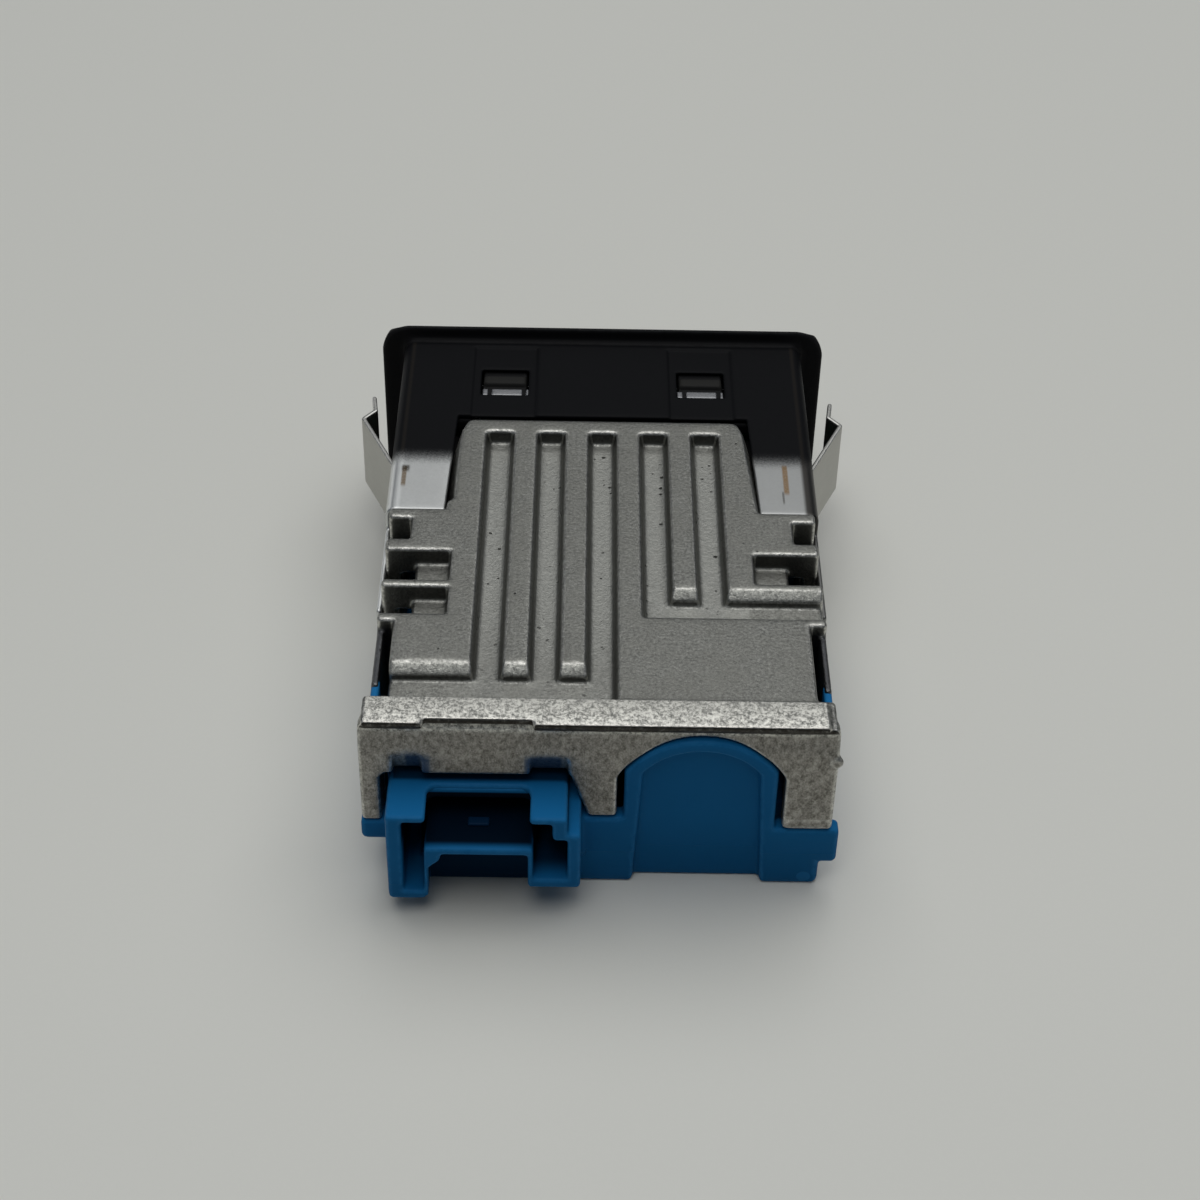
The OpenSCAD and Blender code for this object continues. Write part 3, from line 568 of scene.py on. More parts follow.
@kept("materials", "finish_cast_metal")
def cast_metal(name):
    """Matte die-cast metal: mottled grain, pits, brighter groove floors, a rubbed lip and rubbed edges, with
    painted highlights on the lip, its top edge, the outer edges and the rib ends, and painted shade, shadow
    and reflections on the walls, under the lip and in the slots.
    """
    base = bpy.context.scene.socket_finish.cast
    f = Finish(name)
    normal = f.normal()
    turned = f.split(normal)
    rearward = f.times(turned["Y"], -1.0)
    grain, coarse = f.grain(size=0.3, contrast=3.4), f.grain(size=0.75, contrast=2.6)
    flakes = f.ramp(f.mix_value(0.5, grain, coarse), 0.25, 0.75)
    wear, lip = f.wear(size=0.8), f.box(LIP)
    floors = f.times(f.box(GROOVE_FLOORS), f.ramp(f.y, *GROOVE_FADE_Y, 0.3, 1.0))

    f.colour = f.mix_colour(grain, shade(base, 0.35), shade(base, 1.8))
    f.lay(coarse, shade(base, 0.78, blue=0.97), strength=0.5)
    f.lay(f.patches(size=5.0), shade(base, 0.92, green=0.985, blue=0.95), strength=0.5)
    f.lay(f.patches(size=1.7), shade(base, 1.3, blue=0.97), strength=0.3)
    f.lay(floors, shade(base, 2.0), strength=0.5)
    cast_walls(f, base, rearward, turned["Z"], grain)
    cast_lip(f, base, lip, flakes)
    # Rubbed edges, stronger where they face the rear: real wear with a painted highlight
    rim_rub_and_highlight = f.mix_colour(grain, shade(base, 1.6), (0.92, 0.9, 0.84, 1.0))
    f.lay(f.times(wear["Edge"], f.ramp(rearward, -0.1, 0.5, 0.3, 1.0)), rim_rub_and_highlight, strength=0.85)
    # Painted highlight along the top edge of the lip
    cast_crest_highlight(f, rearward, lip, flakes)
    # The inner corners are made darker
    f.lay(wear["Corner"], shade(base, 0.5), strength=0.35)
    # Painted shadow under the top edge of the lip
    cast_nose_shadow(f, rearward, coarse)
    # Painted reflections of the blue shroud on the wall
    for reflection in BLUE_REFLECTIONS:
        f.lay(f.box(reflection), (0.03, 0.075, 0.14, 1.0), strength=0.75)
    # Painted shade inside the side slots
    for slot in SIDE_SLOT_SHADE:
        f.lay(f.box(slot), (0.06, 0.063, 0.072, 1.0), strength=0.8)
    few = f.pits(spacing=1.3, radius=0.13, share=0.14)
    many = f.pits(spacing=0.8, radius=0.17, share=0.33)
    pits = f.math("MAXIMUM", few, f.times(many, floors), clamp=True)
    f.lay(pits, (0.02, 0.019, 0.017, 1.0), strength=0.9)

    tilt = f.node("ShaderNodeCombineXYZ", {"Y": f.times(lip, LIP_TILT)}).outputs[0]
    tilt = f.vector("NORMALIZE", a=f.vector("ADD", a=normal, b=tilt))
    relief = f.bump(f.math("ADD", grain, coarse), strength=0.4, depth=0.05, under=tilt)
    relief = f.bump(f.times(pits, -1.0), strength=0.8, depth=0.1, under=relief)
    rough = f.mix_value(wear["Edge"], f.mix_value(grain, 0.54, 0.42), 0.36)
    return f.close(rough, relief, metallic=1.0)


def cast_walls(f, base, rearward, upward, grain):
    """Streaks on the rear wall, painted shade on the groove walls and a painted highlight on the slopes at
    the ends of the ribs.
    """
    streak = f.stretched_grain(scale=(1.0, 1.0, 0.7), size=0.42, contrast=3.8)
    dirt = f.mix_colour(streak, (0.13, 0.118, 0.1, 1.0), (0.56, 0.535, 0.49, 1.0))
    f.lay(f.times(f.ramp(rearward, 0.75, 0.95), f.fall(f.y, *REAR_WALL_Y)), dirt, strength=0.7)
    # Painted shade: walls in the grooves that do not look up are made darker
    f.lay(f.times(f.fall(upward, 0.08, 0.5), f.box(SHADED_GROOVE_WALLS)), shade(base, 0.2), strength=0.6)
    # Painted highlight: slopes that face the rear are made brighter
    lit_slope = f.times(f.ramp(rearward, 0.3, 0.55), f.fall(rearward, 0.8, 0.93), f.box(LIT_RIB_ENDS))
    slope_highlight = f.mix_colour(grain, shade(base, 1.1), shade(base, 3.9, green=0.99, blue=0.97))
    f.lay(lit_slope, slope_highlight, strength=0.8)


def cast_lip(f, base, lip, flakes):
    """The flaky top of the lip, rubbed metal with a painted highlight that is stronger towards the rear."""
    lip_highlight = f.mix_colour(flakes, shade(base, 0.75), shade(base, 3.5, green=0.98, blue=0.97))
    f.lay(f.times(lip, f.ramp(f.y, *LIP_FADE_Y, 0.95, 0.5)), lip_highlight)


def cast_crest_highlight(f, rearward, lip, flakes):
    """A painted highlight along the line where the top of the lip turns down."""
    crest_highlight = f.times(f.ramp(rearward, 0.2, 0.42), f.fall(rearward, 0.55, 0.7))
    f.lay(f.times(crest_highlight, lip, f.ramp(flakes, 0.1, 0.6, 0.35, 1.0)), (0.88, 0.85, 0.78, 1.0))


def cast_nose_shadow(f, rearward, coarse):
    """A painted shadow: a thin line of shade under the top edge of the lip, which leaves out the notch."""
    nose_shadow = f.math("SUBTRACT", f.box(NOSE_SHADOW), f.box(LIP_NOTCH), clamp=True)
    nose_shadow = f.times(nose_shadow, f.ramp(rearward, 0.52, 0.76), f.ramp(coarse, 0.0, 0.6, 0.75, 1.0))
    f.lay(nose_shadow, (0.03, 0.026, 0.021, 1.0), strength=0.96)


@kept("materials", "finish_sleeve")
def sleeve_sheet(name):
    """Bright rolled sheet with rust-brown rubs, painted shade on its right half and right bend, a painted
    highlight on its left bend, and a thin black coating at the front that fades out.
    """
    looks = bpy.context.scene.socket_finish
    f = Finish(name)
    grain, mist = f.grain(size=0.34, contrast=1.6), f.grain(size=0.16, contrast=3.0)
    f.colour = f.mix_colour(grain, shade(looks.steel, 0.86), shade(looks.steel, 1.12))
    f.lay(f.patches(size=4.0), shade(looks.steel, 0.85), strength=0.35)
    # Painted shade on the right half of the sleeve
    f.lay(f.ramp(f.x, *SHADED_HALF_X, 0.0, 0.45), shade(looks.steel, 0.42))
    # Painted highlight on the left bend
    f.lay(f.ramp(f.x, *LIT_LEFT_BEND_X, 0.5, 0.0), shade(looks.steel, 1.6))
    # Painted shade on the right bend, above its foot in Z
    right_bend_shade = f.times(f.ramp(f.x, *SHADED_RIGHT_BEND_X, 0.0, 0.9), f.ramp(f.z, *BEND_SHADE_FOOT_Z))
    f.lay(right_bend_shade, (0.03, 0.026, 0.022, 1.0))
    for rub in TAB_RUBS:
        tab_rub(f, mist, *rub)

    end, half = looks.coating_end / MM, looks.coating_fade / MM / 2
    ragged = f.math("ADD", f.y, f.times(f.less(mist, 0.5), 0.9))
    thin = f.inverse(f.ramp(ragged, end - half, end + half))
    chips = f.pits(spacing=2.6, radius=0.16, share=0.05)
    coat = f.math("SUBTRACT", f.inverse(f.math("POWER", thin, 2.0)), f.times(chips, 0.3), clamp=True)
    black = f.mix_colour(grain, shade(looks.coating, 0.8), shade(looks.coating, 1.3))
    fold = f.distance(f.math("ABSOLUTE", f.x), BEND_X)
    f.lay(coat, f.mix_colour(f.ramp(fold, 0.05, 0.3, 0.3, 0.0), black, (0.03, 0.024, 0.018, 1.0)))
    rough = f.mix_value(coat, f.mix_value(grain, 0.34, 0.46), 0.5)
    return f.close(rough, f.bump(grain, strength=0.12, depth=0.04), metallic=f.inverse(coat), specular=0.06)


def tab_rub(f, mist, x, start, end, half, colour, strength):
    """A narrow rub along Y, with soft ends and broken up by a fine mist."""
    side = f.fall(f.distance(f.x, x), half * 0.45, half)
    length = f.times(f.ramp(f.y, start - 0.5, start + 0.3), f.fall(f.y, end - 0.25, end + 0.25))
    f.lay(f.times(side, length, f.ramp(mist, 0.1, 0.5, 0.55, 1.0)), colour, strength)


@kept("materials", "finish_spring_steel")
def spring_steel(name):
    """Satin spring strip with fine rolling lines and brighter edges."""
    base = bpy.context.scene.socket_finish.spring
    f = Finish(name)
    rolled = f.stretched_grain(scale=(0.5, 0.5, 7.0), size=0.8, contrast=1.4)
    f.colour = f.mix_colour(rolled, shade(base, 0.9), shade(base, 1.08))
    f.lay(f.patches(size=3.0), shade(base, 0.82), strength=0.3)
    f.lay(f.wear(size=0.7)["Edge"], (0.8, 0.79, 0.76, 1.0), strength=0.6)
    return f.close(f.mix_value(rolled, 0.42, 0.34), f.bump(rolled, strength=0.1, depth=0.03), metallic=1.0)


@kept("materials", "finish_blue_plastic")
def blue_plastic(name):
    """Satin blue moulding: fine texture, faint flow patches, a parting line and paler rubbed edges, with
    painted light on the faces that look up, painted shade towards the foot, and painted shadow and shade
    behind the shroud and in the connector's mouth.
    """
    base = bpy.context.scene.socket_finish.blue
    f = Finish(name)
    grain = f.grain(size=0.22, contrast=1.4)
    pale = (base[0] * 1.5 + 0.01, base[1] * 1.45, base[2] * 1.35, 1.0)
    across, up = (f.less(at, middle) for at, middle in zip((f.x, f.z), PIN_MIDDLE))
    away = f.math("SQRT", f.math("ADD", f.times(across, across), f.times(up, up)))
    pin = f.times(f.fall(away, *PIN_RIM), f.fall(f.y, *PIN_FACE_Y))
    f.colour = f.mix_colour(grain, shade(base, 0.94), shade(base, 1.06))
    f.lay(f.patches(size=7.0), shade(base, 0.88), strength=0.5)
    # Painted light: faces that look up are made paler
    f.lay(f.ramp(f.split(f.normal())["Z"], 0.5, 0.9), shade(base, 1.4), strength=0.6)
    # Painted shade: the housing is made darker towards its foot
    f.lay(f.ramp(f.z, *LOW_SHADE_Z, 0.45, 0.0), shade(base, 0.62))
    f.lay(f.wear(size=0.9)["Edge"], pale, strength=0.55)
    f.lay(pin, pale, strength=0.5)
    # Painted shadow on the top of the shroud where it meets the wall
    f.lay(f.box(SHROUD_SHADOW), shade(base, 0.12), strength=0.85)
    # Painted shade: the inside of the connector's mouth, its leg pockets and the wall under it are made
    # nearly black
    cavity_shade = f.math("MAXIMUM", f.box(MOUTH_SHADE), f.box(LEG_POCKET_SHADE))
    cavity_shade = f.math("MAXIMUM", cavity_shade, f.times(f.box(UNDER_MOUTH_SHADE), 0.82))
    f.lay(cavity_shade, (0.0004, 0.0005, 0.0015, 1.0), strength=0.96)
    seam = f.fall(f.distance(f.z, PARTING_Z), 0.03, 0.1)
    relief = f.bump(grain, strength=0.12, depth=0.03)
    relief = f.bump(f.less(seam, f.times(pin, 2.0)), strength=0.5, depth=0.03, under=relief)
    return f.close(f.mix_value(grain, 0.5, 0.4), relief, specular=0.04)


@kept("materials", "finish_black_plastic")
def black_plastic(name):
    """Black satin moulding with a fine eroded texture and a painted highlight that makes the snap hooks
    paler.
    """
    base = bpy.context.scene.socket_finish.black
    f = Finish(name)
    grain = f.grain(size=0.2, contrast=1.8)
    f.colour = f.mix_colour(grain, shade(base, 0.8), shade(base, 1.3))
    f.lay(f.patches(size=8.0), shade(base, 1.5), strength=0.4)
    f.lay(f.wear(size=1.2)["Edge"], (0.02, 0.02, 0.021, 1.0), strength=0.5)
    # Painted highlight that makes the snap hooks paler
    for lit_hook in HOOK_HIGHLIGHTS:
        f.lay(f.box(lit_hook), (0.022, 0.0215, 0.02, 1.0))
    return f.close(f.mix_value(grain, 0.55, 0.42), f.bump(grain, strength=0.2, depth=0.04), specular=0.06)


def plain_finish(name):
    """A finish of the table, with its own grain in colour, roughness and relief."""
    if "finish_" + name not in bpy.data.materials:
        one_grain("finish_" + name, **PLAIN_FINISHES[name])
    return bpy.data.materials["finish_" + name]


def one_grain(name, colour, rough, metallic=0.0, size=0.2, contrast=1.2, spread=0.15, specular=0.5):
    """A material with a grain of one size, whose colour spreads round the one given, and broad patches."""
    f = Finish(name)
    grain = f.grain(size, contrast)
    f.colour = f.mix_colour(grain, shade(colour, 1 - spread), shade(colour, 1 + spread))
    f.lay(f.patches(size * 16), shade(colour, 0.85), strength=0.3)
    relief = f.bump(grain, strength=0.15, depth=0.03)
    f.close(f.mix_value(grain, rough + 0.06, rough - 0.06), relief, metallic, specular)


@kept("materials", "finish_board_laminate")
def board_laminate(name):
    """Green solder resist with a faint weave and buried tracks."""
    f = Finish(name)
    threads = {"Vector": f.place, "Scale": 2.2, "Distortion": 0.4}
    warp, weft = (
        f.node("ShaderNodeTexWave", threads, wave_type="BANDS", bands_direction=axis).outputs["Fac"]
        for axis in ("X", "Y")
    )
    cloth = f.times(warp, weft)
    bricks = {"Vector": f.place, "Scale": 0.4, "Mortar Size": 0.03}
    track = f.node("ShaderNodeTexBrick", bricks).outputs["Fac"]
    f.colour = f.mix_colour(cloth, (0.012, 0.075, 0.03, 1.0), (0.02, 0.12, 0.05, 1.0))
    f.lay(track, (0.05, 0.2, 0.08, 1.0), strength=0.5)
    return f.close(f.mix_value(cloth, 0.3, 0.42), f.bump(track, strength=0.3, depth=0.03))


@kept("materials", "floor_finish")
def floor_finish(name):
    """Plain pale matt floor."""
    base = bpy.context.scene.socket_stage.floor
    f = Finish(name)
    grain = f.grain(size=0.5, contrast=0.7)
    f.colour = f.mix_colour(grain, shade(base, 0.97), shade(base, 1.02))
    return f.close(f.mix_value(grain, 0.4, 0.32), specular=0.35)


# Meshes


def solid_arrays(name):
    """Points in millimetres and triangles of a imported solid."""
    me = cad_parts[name].data
    points = np.zeros(len(me.vertices) * 3, np.float32)
    me.vertices.foreach_get("co", points)
    me.calc_loop_triangles()
    tris = np.zeros(len(me.loop_triangles) * 3, np.int32)
    me.loop_triangles.foreach_get("vertices", tris)
    return points.reshape(-1, 3) / MM, tris.reshape(-1, 3).astype(np.uint32)


def sample_field(grid, points, cell, reach):
    """Values of a distance field at points, read between its cells."""
    at = points / cell
    low = np.floor(at.min(0)).astype(int) - 1
    size = np.ceil(at.max(0)).astype(int) + 3 - low
    block = np.full(size, reach, np.float32)
    grid.copyToArray(block, ijk=tuple(int(v) for v in low))
    base = np.floor(at).astype(int)
    part = (at - base).astype(np.float32)
    base -= low
    value = np.zeros(len(points), np.float32)
    for corner in np.ndindex(2, 2, 2):
        c = np.array(corner)
        weight = np.prod(np.where(c == 1, part, 1 - part), axis=1)
        i = base + c
        value += weight * block[i[:, 0], i[:, 1], i[:, 2]]
    return value


def signed_volume(points, faces):
    """Positive if faces point outwards; the first three corners of each face are read."""
    a, b, c = (points[faces[:, k]] for k in range(3))
    return np.einsum("ij,ij->i", a, np.cross(b, c)).sum()


def build_mesh(name, points, tris, quads):
    """A smooth mesh from arrays in millimetres, with its faces outwards."""
    if signed_volume(points, quads) + signed_volume(points, tris) < 0:
        tris, quads = tris[:, ::-1], quads[:, ::-1]
    me = bpy.data.meshes.new(name)
    corners = np.concatenate([tris.ravel(), quads.ravel()]).astype(np.int32)
    starts = np.concatenate([np.arange(len(tris)) * 3, len(tris) * 3 + np.arange(len(quads)) * 4])
    me.vertices.add(len(points))
    me.vertices.foreach_set("co", (points * MM).astype(np.float32).ravel())
    me.loops.add(len(corners))
    me.loops.foreach_set("vertex_index", corners)
    me.polygons.add(len(starts))
    me.polygons.foreach_set("loop_start", starts.astype(np.int32))
    me.update(calc_edges=True)
    me.validate()
    me.shade_smooth()
    return me


def rounded_mesh(name, solid, edge, fillet, cell, coarsen=0.03, shape=None):
    """An object from a closed mesh, with its outer edges and corners rounded.

    The solid becomes a distance field. Shrinking and growing it rounds the outer edges, growing and shrinking
    it the corners. Flat parts take larger faces, the larger coarsen is. The function shape then moves the
    points, where a form differs a little from its solid.
    The attribute "edge" says how round each point is: up to one on an edge, down to minus one in a corner.
    """
    edge, fillet, cell = edge / MM, fillet / MM, cell / MM
    points, tris = solid
    quads = None
    steps = (-edge, edge, fillet, -fillet)
    band = math.ceil(max(edge, fillet) / cell) + 2
    space = vdb.createLinearTransform(voxelSize=cell)
    first = None
    for k, step in enumerate(steps):
        field = vdb.FloatGrid.createLevelSetFromPolygons(
            points, triangles=tris, quads=quads, transform=space, halfWidth=band
        )
        if first is None:
            first = field
        last = k == len(steps) - 1
        points, tris, quads = field.convertToPolygons(isovalue=step, adaptivity=coarsen if last else 0.0)
    points = np.asarray(points)
    tris, quads = np.asarray(tris).reshape(-1, 3), np.asarray(quads).reshape(-1, 4)
    depth = sample_field(first, points, cell, band * cell)
    if shape is not None:
        points = shape(points.astype(np.float64)).astype(np.float32)
    points = np.clip(points, np.array(CAD_BOX[0]) / MM, np.array(CAD_BOX[1]) / MM)
    me = build_mesh(name, points, tris, quads)
    bend = -depth / (MIDDLE_DEPTH * np.where(depth < 0, edge, fillet))
    layer = me.attributes.new("edge", "FLOAT", "POINT")
    layer.data.foreach_set("value", np.clip(bend, -1, 1).astype(np.float32))
    ob = bpy.data.objects.new(name, me)
    bpy.context.scene.collection.objects.link(ob)
    return ob


def rounded_piece(name, node, *sizes, **more):
    """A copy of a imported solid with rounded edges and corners."""
    return rounded_mesh(name, solid_arrays(node), *sizes, **more)


def column_solid(xs, ys, lows, highs):
    """A closed solid between two outlines over X, from the first to the second of ys."""
    n = len(xs)
    points = [(x, y, z) for y in ys for zs in (lows, highs) for x, z in zip(xs, zs)]
    tris = []

    def face(a, b, c, d):
        tris.extend(((a, b, c), (a, c, d)))

    for i in range(n - 1):
        face(i, i + 1, n + i + 1, n + i)
        face(2 * n + i + 1, 2 * n + i, 3 * n + i, 3 * n + i + 1)
        face(i + 1, i, 2 * n + i, 2 * n + i + 1)
        face(n + i, n + i + 1, 3 * n + i + 1, 3 * n + i)
    face(0, n, 3 * n, 2 * n)
    face(n - 1, 3 * n - 1, 4 * n - 1, 2 * n - 1)
    return np.array(points, np.float32), np.array(tris, np.uint32)


def block_solid(low, high):
    return column_solid((low[0], high[0]), (low[1], high[1]), (low[2],) * 2, (high[2],) * 2)


def lintel_solid():
    """The bar over the connector's mouth, whose lower edge drops in an arc at both ends."""
    left_end, right_end = 0.2, 0.25
    xs = np.linspace(*LINTEL_X, LINTEL_STEPS)
    inset = np.minimum(xs - LINTEL_X[0] - left_end, LINTEL_X[1] - right_end - xs)
    inset = np.clip(inset, 0, LINTEL_R)
    lows = LINTEL_Z[0] - (LINTEL_R - np.sqrt(LINTEL_R**2 - (LINTEL_R - inset) ** 2))
    return column_solid(xs, LINTEL_Y, lows, np.full(LINTEL_STEPS, LINTEL_Z[1]))


# Small changes of form, on points in millimetres


def step_up(value, low, high):
    """A smooth step from nought at low to one at high."""
    t = np.clip((value - low) / (high - low), 0, 1)
    return t * t * (3 - 2 * t)


def cover_shape(p):
    """Leans the top of the rear wall forward, lengthens the tongue's tip and draws its left edge in."""
    lip_lean, lip_z, lip_depth = 0.42, (15.2, 17.6), (26.0, 28.4)
    tip_reach, tip_y, tip_half, tip_soft = 0.42, (14.3, 15.3), 13.6, 0.4
    shoulder_y, side_x = 2.6, (13.4, 14.2)
    side_y, side_draw = (shoulder_y, 3.1, 7.4, 12.0), (0, 0.5, 0.22, 0)
    x, y, z = p.T
    lean = lip_lean * step_up(z, *lip_z) * step_up(-y, *lip_depth)
    reach = tip_reach * step_up(y, *tip_y) * step_up(tip_half - np.abs(x), 0.0, tip_soft)
    y += lean + reach
    draw = np.interp(y, side_y, side_draw) * np.interp(-x, side_x, (0, 1))
    x += np.where(y > shoulder_y, draw, 0)
    return p


def housing_shape(p):
    """Thins the inner walls of the connector legs and lengthens the heads of the snap arms."""
    legs_front, legs_foot, legs_top = -28.9, 2.4, 8.6
    left_leg, left_thin = (-16.7, -15.6, -14.9, -14.2), (0, 0.5, 0.15, 0)
    right_leg, right_thin = (-6.5, -6.1, -5.4, -4.2), (0, 0, -0.3, 0)
    heads_side, heads_foot, heads_front = 18.8, 10, -21.8
    head_y, head_reach = (-24.4, -22.3), (0, 1.5)
    x, y, z = p.T
    legs = (y < legs_front) & (z > legs_foot) & (z < legs_top)
    thin = np.interp(x, left_leg, left_thin) + np.interp(x, right_leg, right_thin)
    x += np.where(legs, thin, 0)
    heads = (np.abs(x) > heads_side) & (z > heads_foot) & (y < heads_front)
    y += np.where(heads, np.interp(y, head_y, head_reach), 0)
    return p


def moulding_shape(p):
    """Draws the snap hooks in, so that a ledge shows behind them, and widens the corners of the flange."""
    hooks_foot, hooks_rear, hooks_end = 17.25, 20, 24.5
    hook_front, new_front, hook_scale = 24.3, 25.36, 0.68
    x, y, z = p.T
    hooks = (np.abs(np.abs(x) - WINDOW_X) < HOOK_HALF) & (z > hooks_foot) & (y > hooks_rear) & (y < hooks_end)
    y[hooks] = new_front + (y[hooks] - hook_front) * hook_scale
    return round_corners(p, FLANGE_BACK, FLANGE_R, FLANGE_ROUND)


def sleeve_shape(p):
    """Brings the inner edges of the tabs closer to the tongue, and the latch windows a little forward."""
    tab_edge_x, tab_y, tab_shift, band_y = (13.3, 15.1, 15.7, 18.1), (2.5, 17.2), (0.28, 0.8), (17.3, 18.6)
    window_half, window_y, window_shift = (2.6, 3.6), (18.0, 19.9, 25.2, 27.5), 0.7
    bump = (0, 1, 1, 0)
    x, y, z = p.T
    near = np.interp(np.abs(x), tab_edge_x, bump) * (1 - step_up(y, *band_y))
    shift = np.interp(y, tab_y, tab_shift) * near
    x -= np.where(z > TOP_SHEET_Z, np.sign(x) * shift, 0)
    near = np.interp(np.abs(np.abs(x) - WINDOW_X), window_half, (1, 0)) * np.interp(y, window_y, bump)
    y += np.where(z > TOP_SHEET_Z, window_shift * near, 0)
    return p


def round_corners(p, y0, r0, r1):
    """Widens the corner radius of the outline in X and Z from r0 to r1, for the points beyond y0."""
    beyond = p[:, 1] > y0
    x1, z0, z1 = np.abs(p[:, 0]).max(), p[beyond, 2].min(), p[beyond, 2].max()
    mid = (z0 + z1) / 2
    dx = np.abs(p[:, 0]) - (x1 - r1)
    dz = np.abs(p[:, 2] - mid) - (z1 - mid - r1)
    near = (dx > 0) & (dz > 0) & beyond
    far = np.hypot(dx[near], dz[near])
    ux, uz = dx[near] / far, dz[near] / far
    c = r1 - r0
    along = (ux + uz) * c
    arc = along + np.sqrt(np.maximum(along**2 - 2 * c * c + r0 * r0, 0))
    longer = np.maximum(ux, uz)
    scale = r1 / np.where(np.minimum(ux, uz) / longer * r1 <= c, r1 / longer, arc)
    p[near, 0] = np.sign(p[near, 0]) * (x1 - r1 + dx[near] * scale)
    p[near, 2] = mid + np.sign(p[near, 2] - mid) * (z1 - mid - r1 + dz[near] * scale)
    return p


# Finished pieces


def dress(ob, material, body, slot, *solids):
    """Gives a new piece its finish and its body, and hides the solids it stands for. The slot is not used."""
    ob.data.materials.clear()
    ob.data.materials.append(material)
    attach(ob, body)
    if solids:
        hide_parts(*solids)


def paint_solid(name, material):
    """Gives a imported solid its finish."""
    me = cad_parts[name].data
    me.materials.clear()
    me.materials.append(material)


# Contact strips as Geometry Nodes


def strip_tree():
    """Two facing rows of strips along X, above and below a tongue."""
    tree = bpy.data.node_groups.new("contact_rows", "GeometryNodeTree")
    sockets = {
        "Geometry": "NodeSocketGeometry",
        "Strips": "NodeSocketInt",
        "Pitch": "NodeSocketFloat",
        "Strip Size": "NodeSocketVector",
        "Centre": "NodeSocketVector",
        "Tongue Thickness": "NodeSocketFloat",
        "Finish": "NodeSocketMaterial",
    }
    for label, kind in sockets.items():
        tree.interface.new_socket(label, in_out="INPUT", socket_type=kind)
    tree.interface.new_socket("Geometry", in_out="OUTPUT", socket_type="NodeSocketGeometry")
    g = Nodes(tree)
    given, result = g.node("NodeGroupInput").outputs, g.node("NodeGroupOutput").inputs
    span = g.times(given["Pitch"], g.less(given["Strips"], 1.0))
    height = g.math("ADD", given["Tongue Thickness"], g.split(given["Strip Size"])["Z"])
    step = g.node("ShaderNodeCombineXYZ", {"X": given["Pitch"]}).outputs[0]
    rows = g.node("GeometryNodeJoinGeometry")
    for half in (0.5, -0.5):
        corner = {"X": g.times(span, -0.5), "Z": g.times(height, half)}
        start = g.vector("ADD", a=g.node("ShaderNodeCombineXYZ", corner).outputs[0], b=given["Centre"])
        line = {"Count": given["Strips"], "Start Location": start, "Offset": step}
        g.put(rows.inputs[0], g.node("GeometryNodeMeshLine", line).outputs[0])
    strip = g.node("GeometryNodeMeshCube", {"Size": given["Strip Size"]}).outputs[0]
    placed = {"Points": rows.outputs[0], "Instance": strip}
    real = g.node("GeometryNodeInstanceOnPoints", placed).outputs[0]
    real = g.node("GeometryNodeRealizeInstances", {0: real}).outputs[0]
    done = g.node("GeometryNodeSetMaterial", {"Geometry": real, "Material": given["Finish"]})
    g.put(result[0], done.outputs[0])
    return tree


def strip_rows(name, tree, centre, length, material):
    """Runs the strip tree once and keeps its result as a plain mesh."""
    contacts = bpy.context.scene.socket_contacts
    ob = bpy.data.objects.new(name, bpy.data.meshes.new(name))
    bpy.context.scene.collection.objects.link(ob)
    mod = ob.modifiers.new("rows", "NODES")
    mod.node_group = tree
    values = {
        "Strips": contacts.count,
        "Pitch": contacts.pitch,
        "Strip Size": (contacts.width, length, STRIP_THICKNESS * MM),
        "Centre": centre,
        "Tongue Thickness": TONGUE_THICKNESS * MM,
        "Finish": material,
    }
    for item in tree.interface.items_tree:
        if item.item_type == "SOCKET" and item.in_out == "INPUT" and item.name in values:
            mod[item.identifier] = values[item.name]
    bpy.context.view_layer.update()
    made = ob.evaluated_get(bpy.context.evaluated_depsgraph_get())
    me = bpy.data.meshes.new_from_object(made)
    ob.modifiers.remove(mod)
    ob.data = me
    return ob


# Operators


class SOCKET_OT_stage(bpy.types.Operator):
    """Makes the floor, the soft light and the camera"""

    bl_idname = "socket.stage"
    bl_label = "Stage"

    def execute(self, context):
        settings = context.scene.socket_stage
        low, high = -FLOOR_HALF, FLOOR_HALF
        corners = [(low, low, 0), (high, low, 0), (high, high, 0), (low, high, 0)]
        me = bpy.data.meshes.new("floor")
        me.from_pydata(corners, [], [(0, 1, 2, 3)])
        me.materials.append(floor_finish())
        floor = self.place(context, "floor", me)

        world = bpy.data.worlds.new("studio")
        world.use_nodes = True
        back = world.node_tree.nodes["Background"]
        back.inputs["Color"].default_value = SKY_COLOUR
        back.inputs["Strength"].default_value = settings.sky
        context.scene.world = world
        for name, lamp in LAMPS.items():
            self.lamp(context, name, power=getattr(settings, name), **lamp)

        cam = bpy.data.cameras.new("camera")
        cam.lens, cam.sensor_width = settings.lens, CAMERA_SENSOR
        cam.clip_start, cam.clip_end = CAMERA_CLIP
        turn = Matrix((CAMERA_RIGHT, CAMERA_UP, CAMERA_BACK)).transposed().to_4x4()
        ob = self.place(context, "camera", cam)
        ob.matrix_world = Matrix.Translation(CAMERA_PLACE) @ turn
        context.scene.camera = ob
        context.scene.view_settings.view_transform = "Standard"
        return {"FINISHED"}

    @staticmethod
    def place(context, name, data):
        ob = bpy.data.objects.new(name, data)
        context.scene.collection.objects.link(ob)
        return ob

    def lamp(self, context, name, place, target, size, power):
        """A round lamp that faces its target."""
        light = bpy.data.lights.new(name, "AREA")
        light.shape, light.size, light.energy = "DISK", size, power
        turn = (Vector(place) - Vector(target)).to_track_quat("Z", "Y").to_matrix().to_4x4()
        self.place(context, name, light).matrix_world = Matrix.Translation(place) @ turn


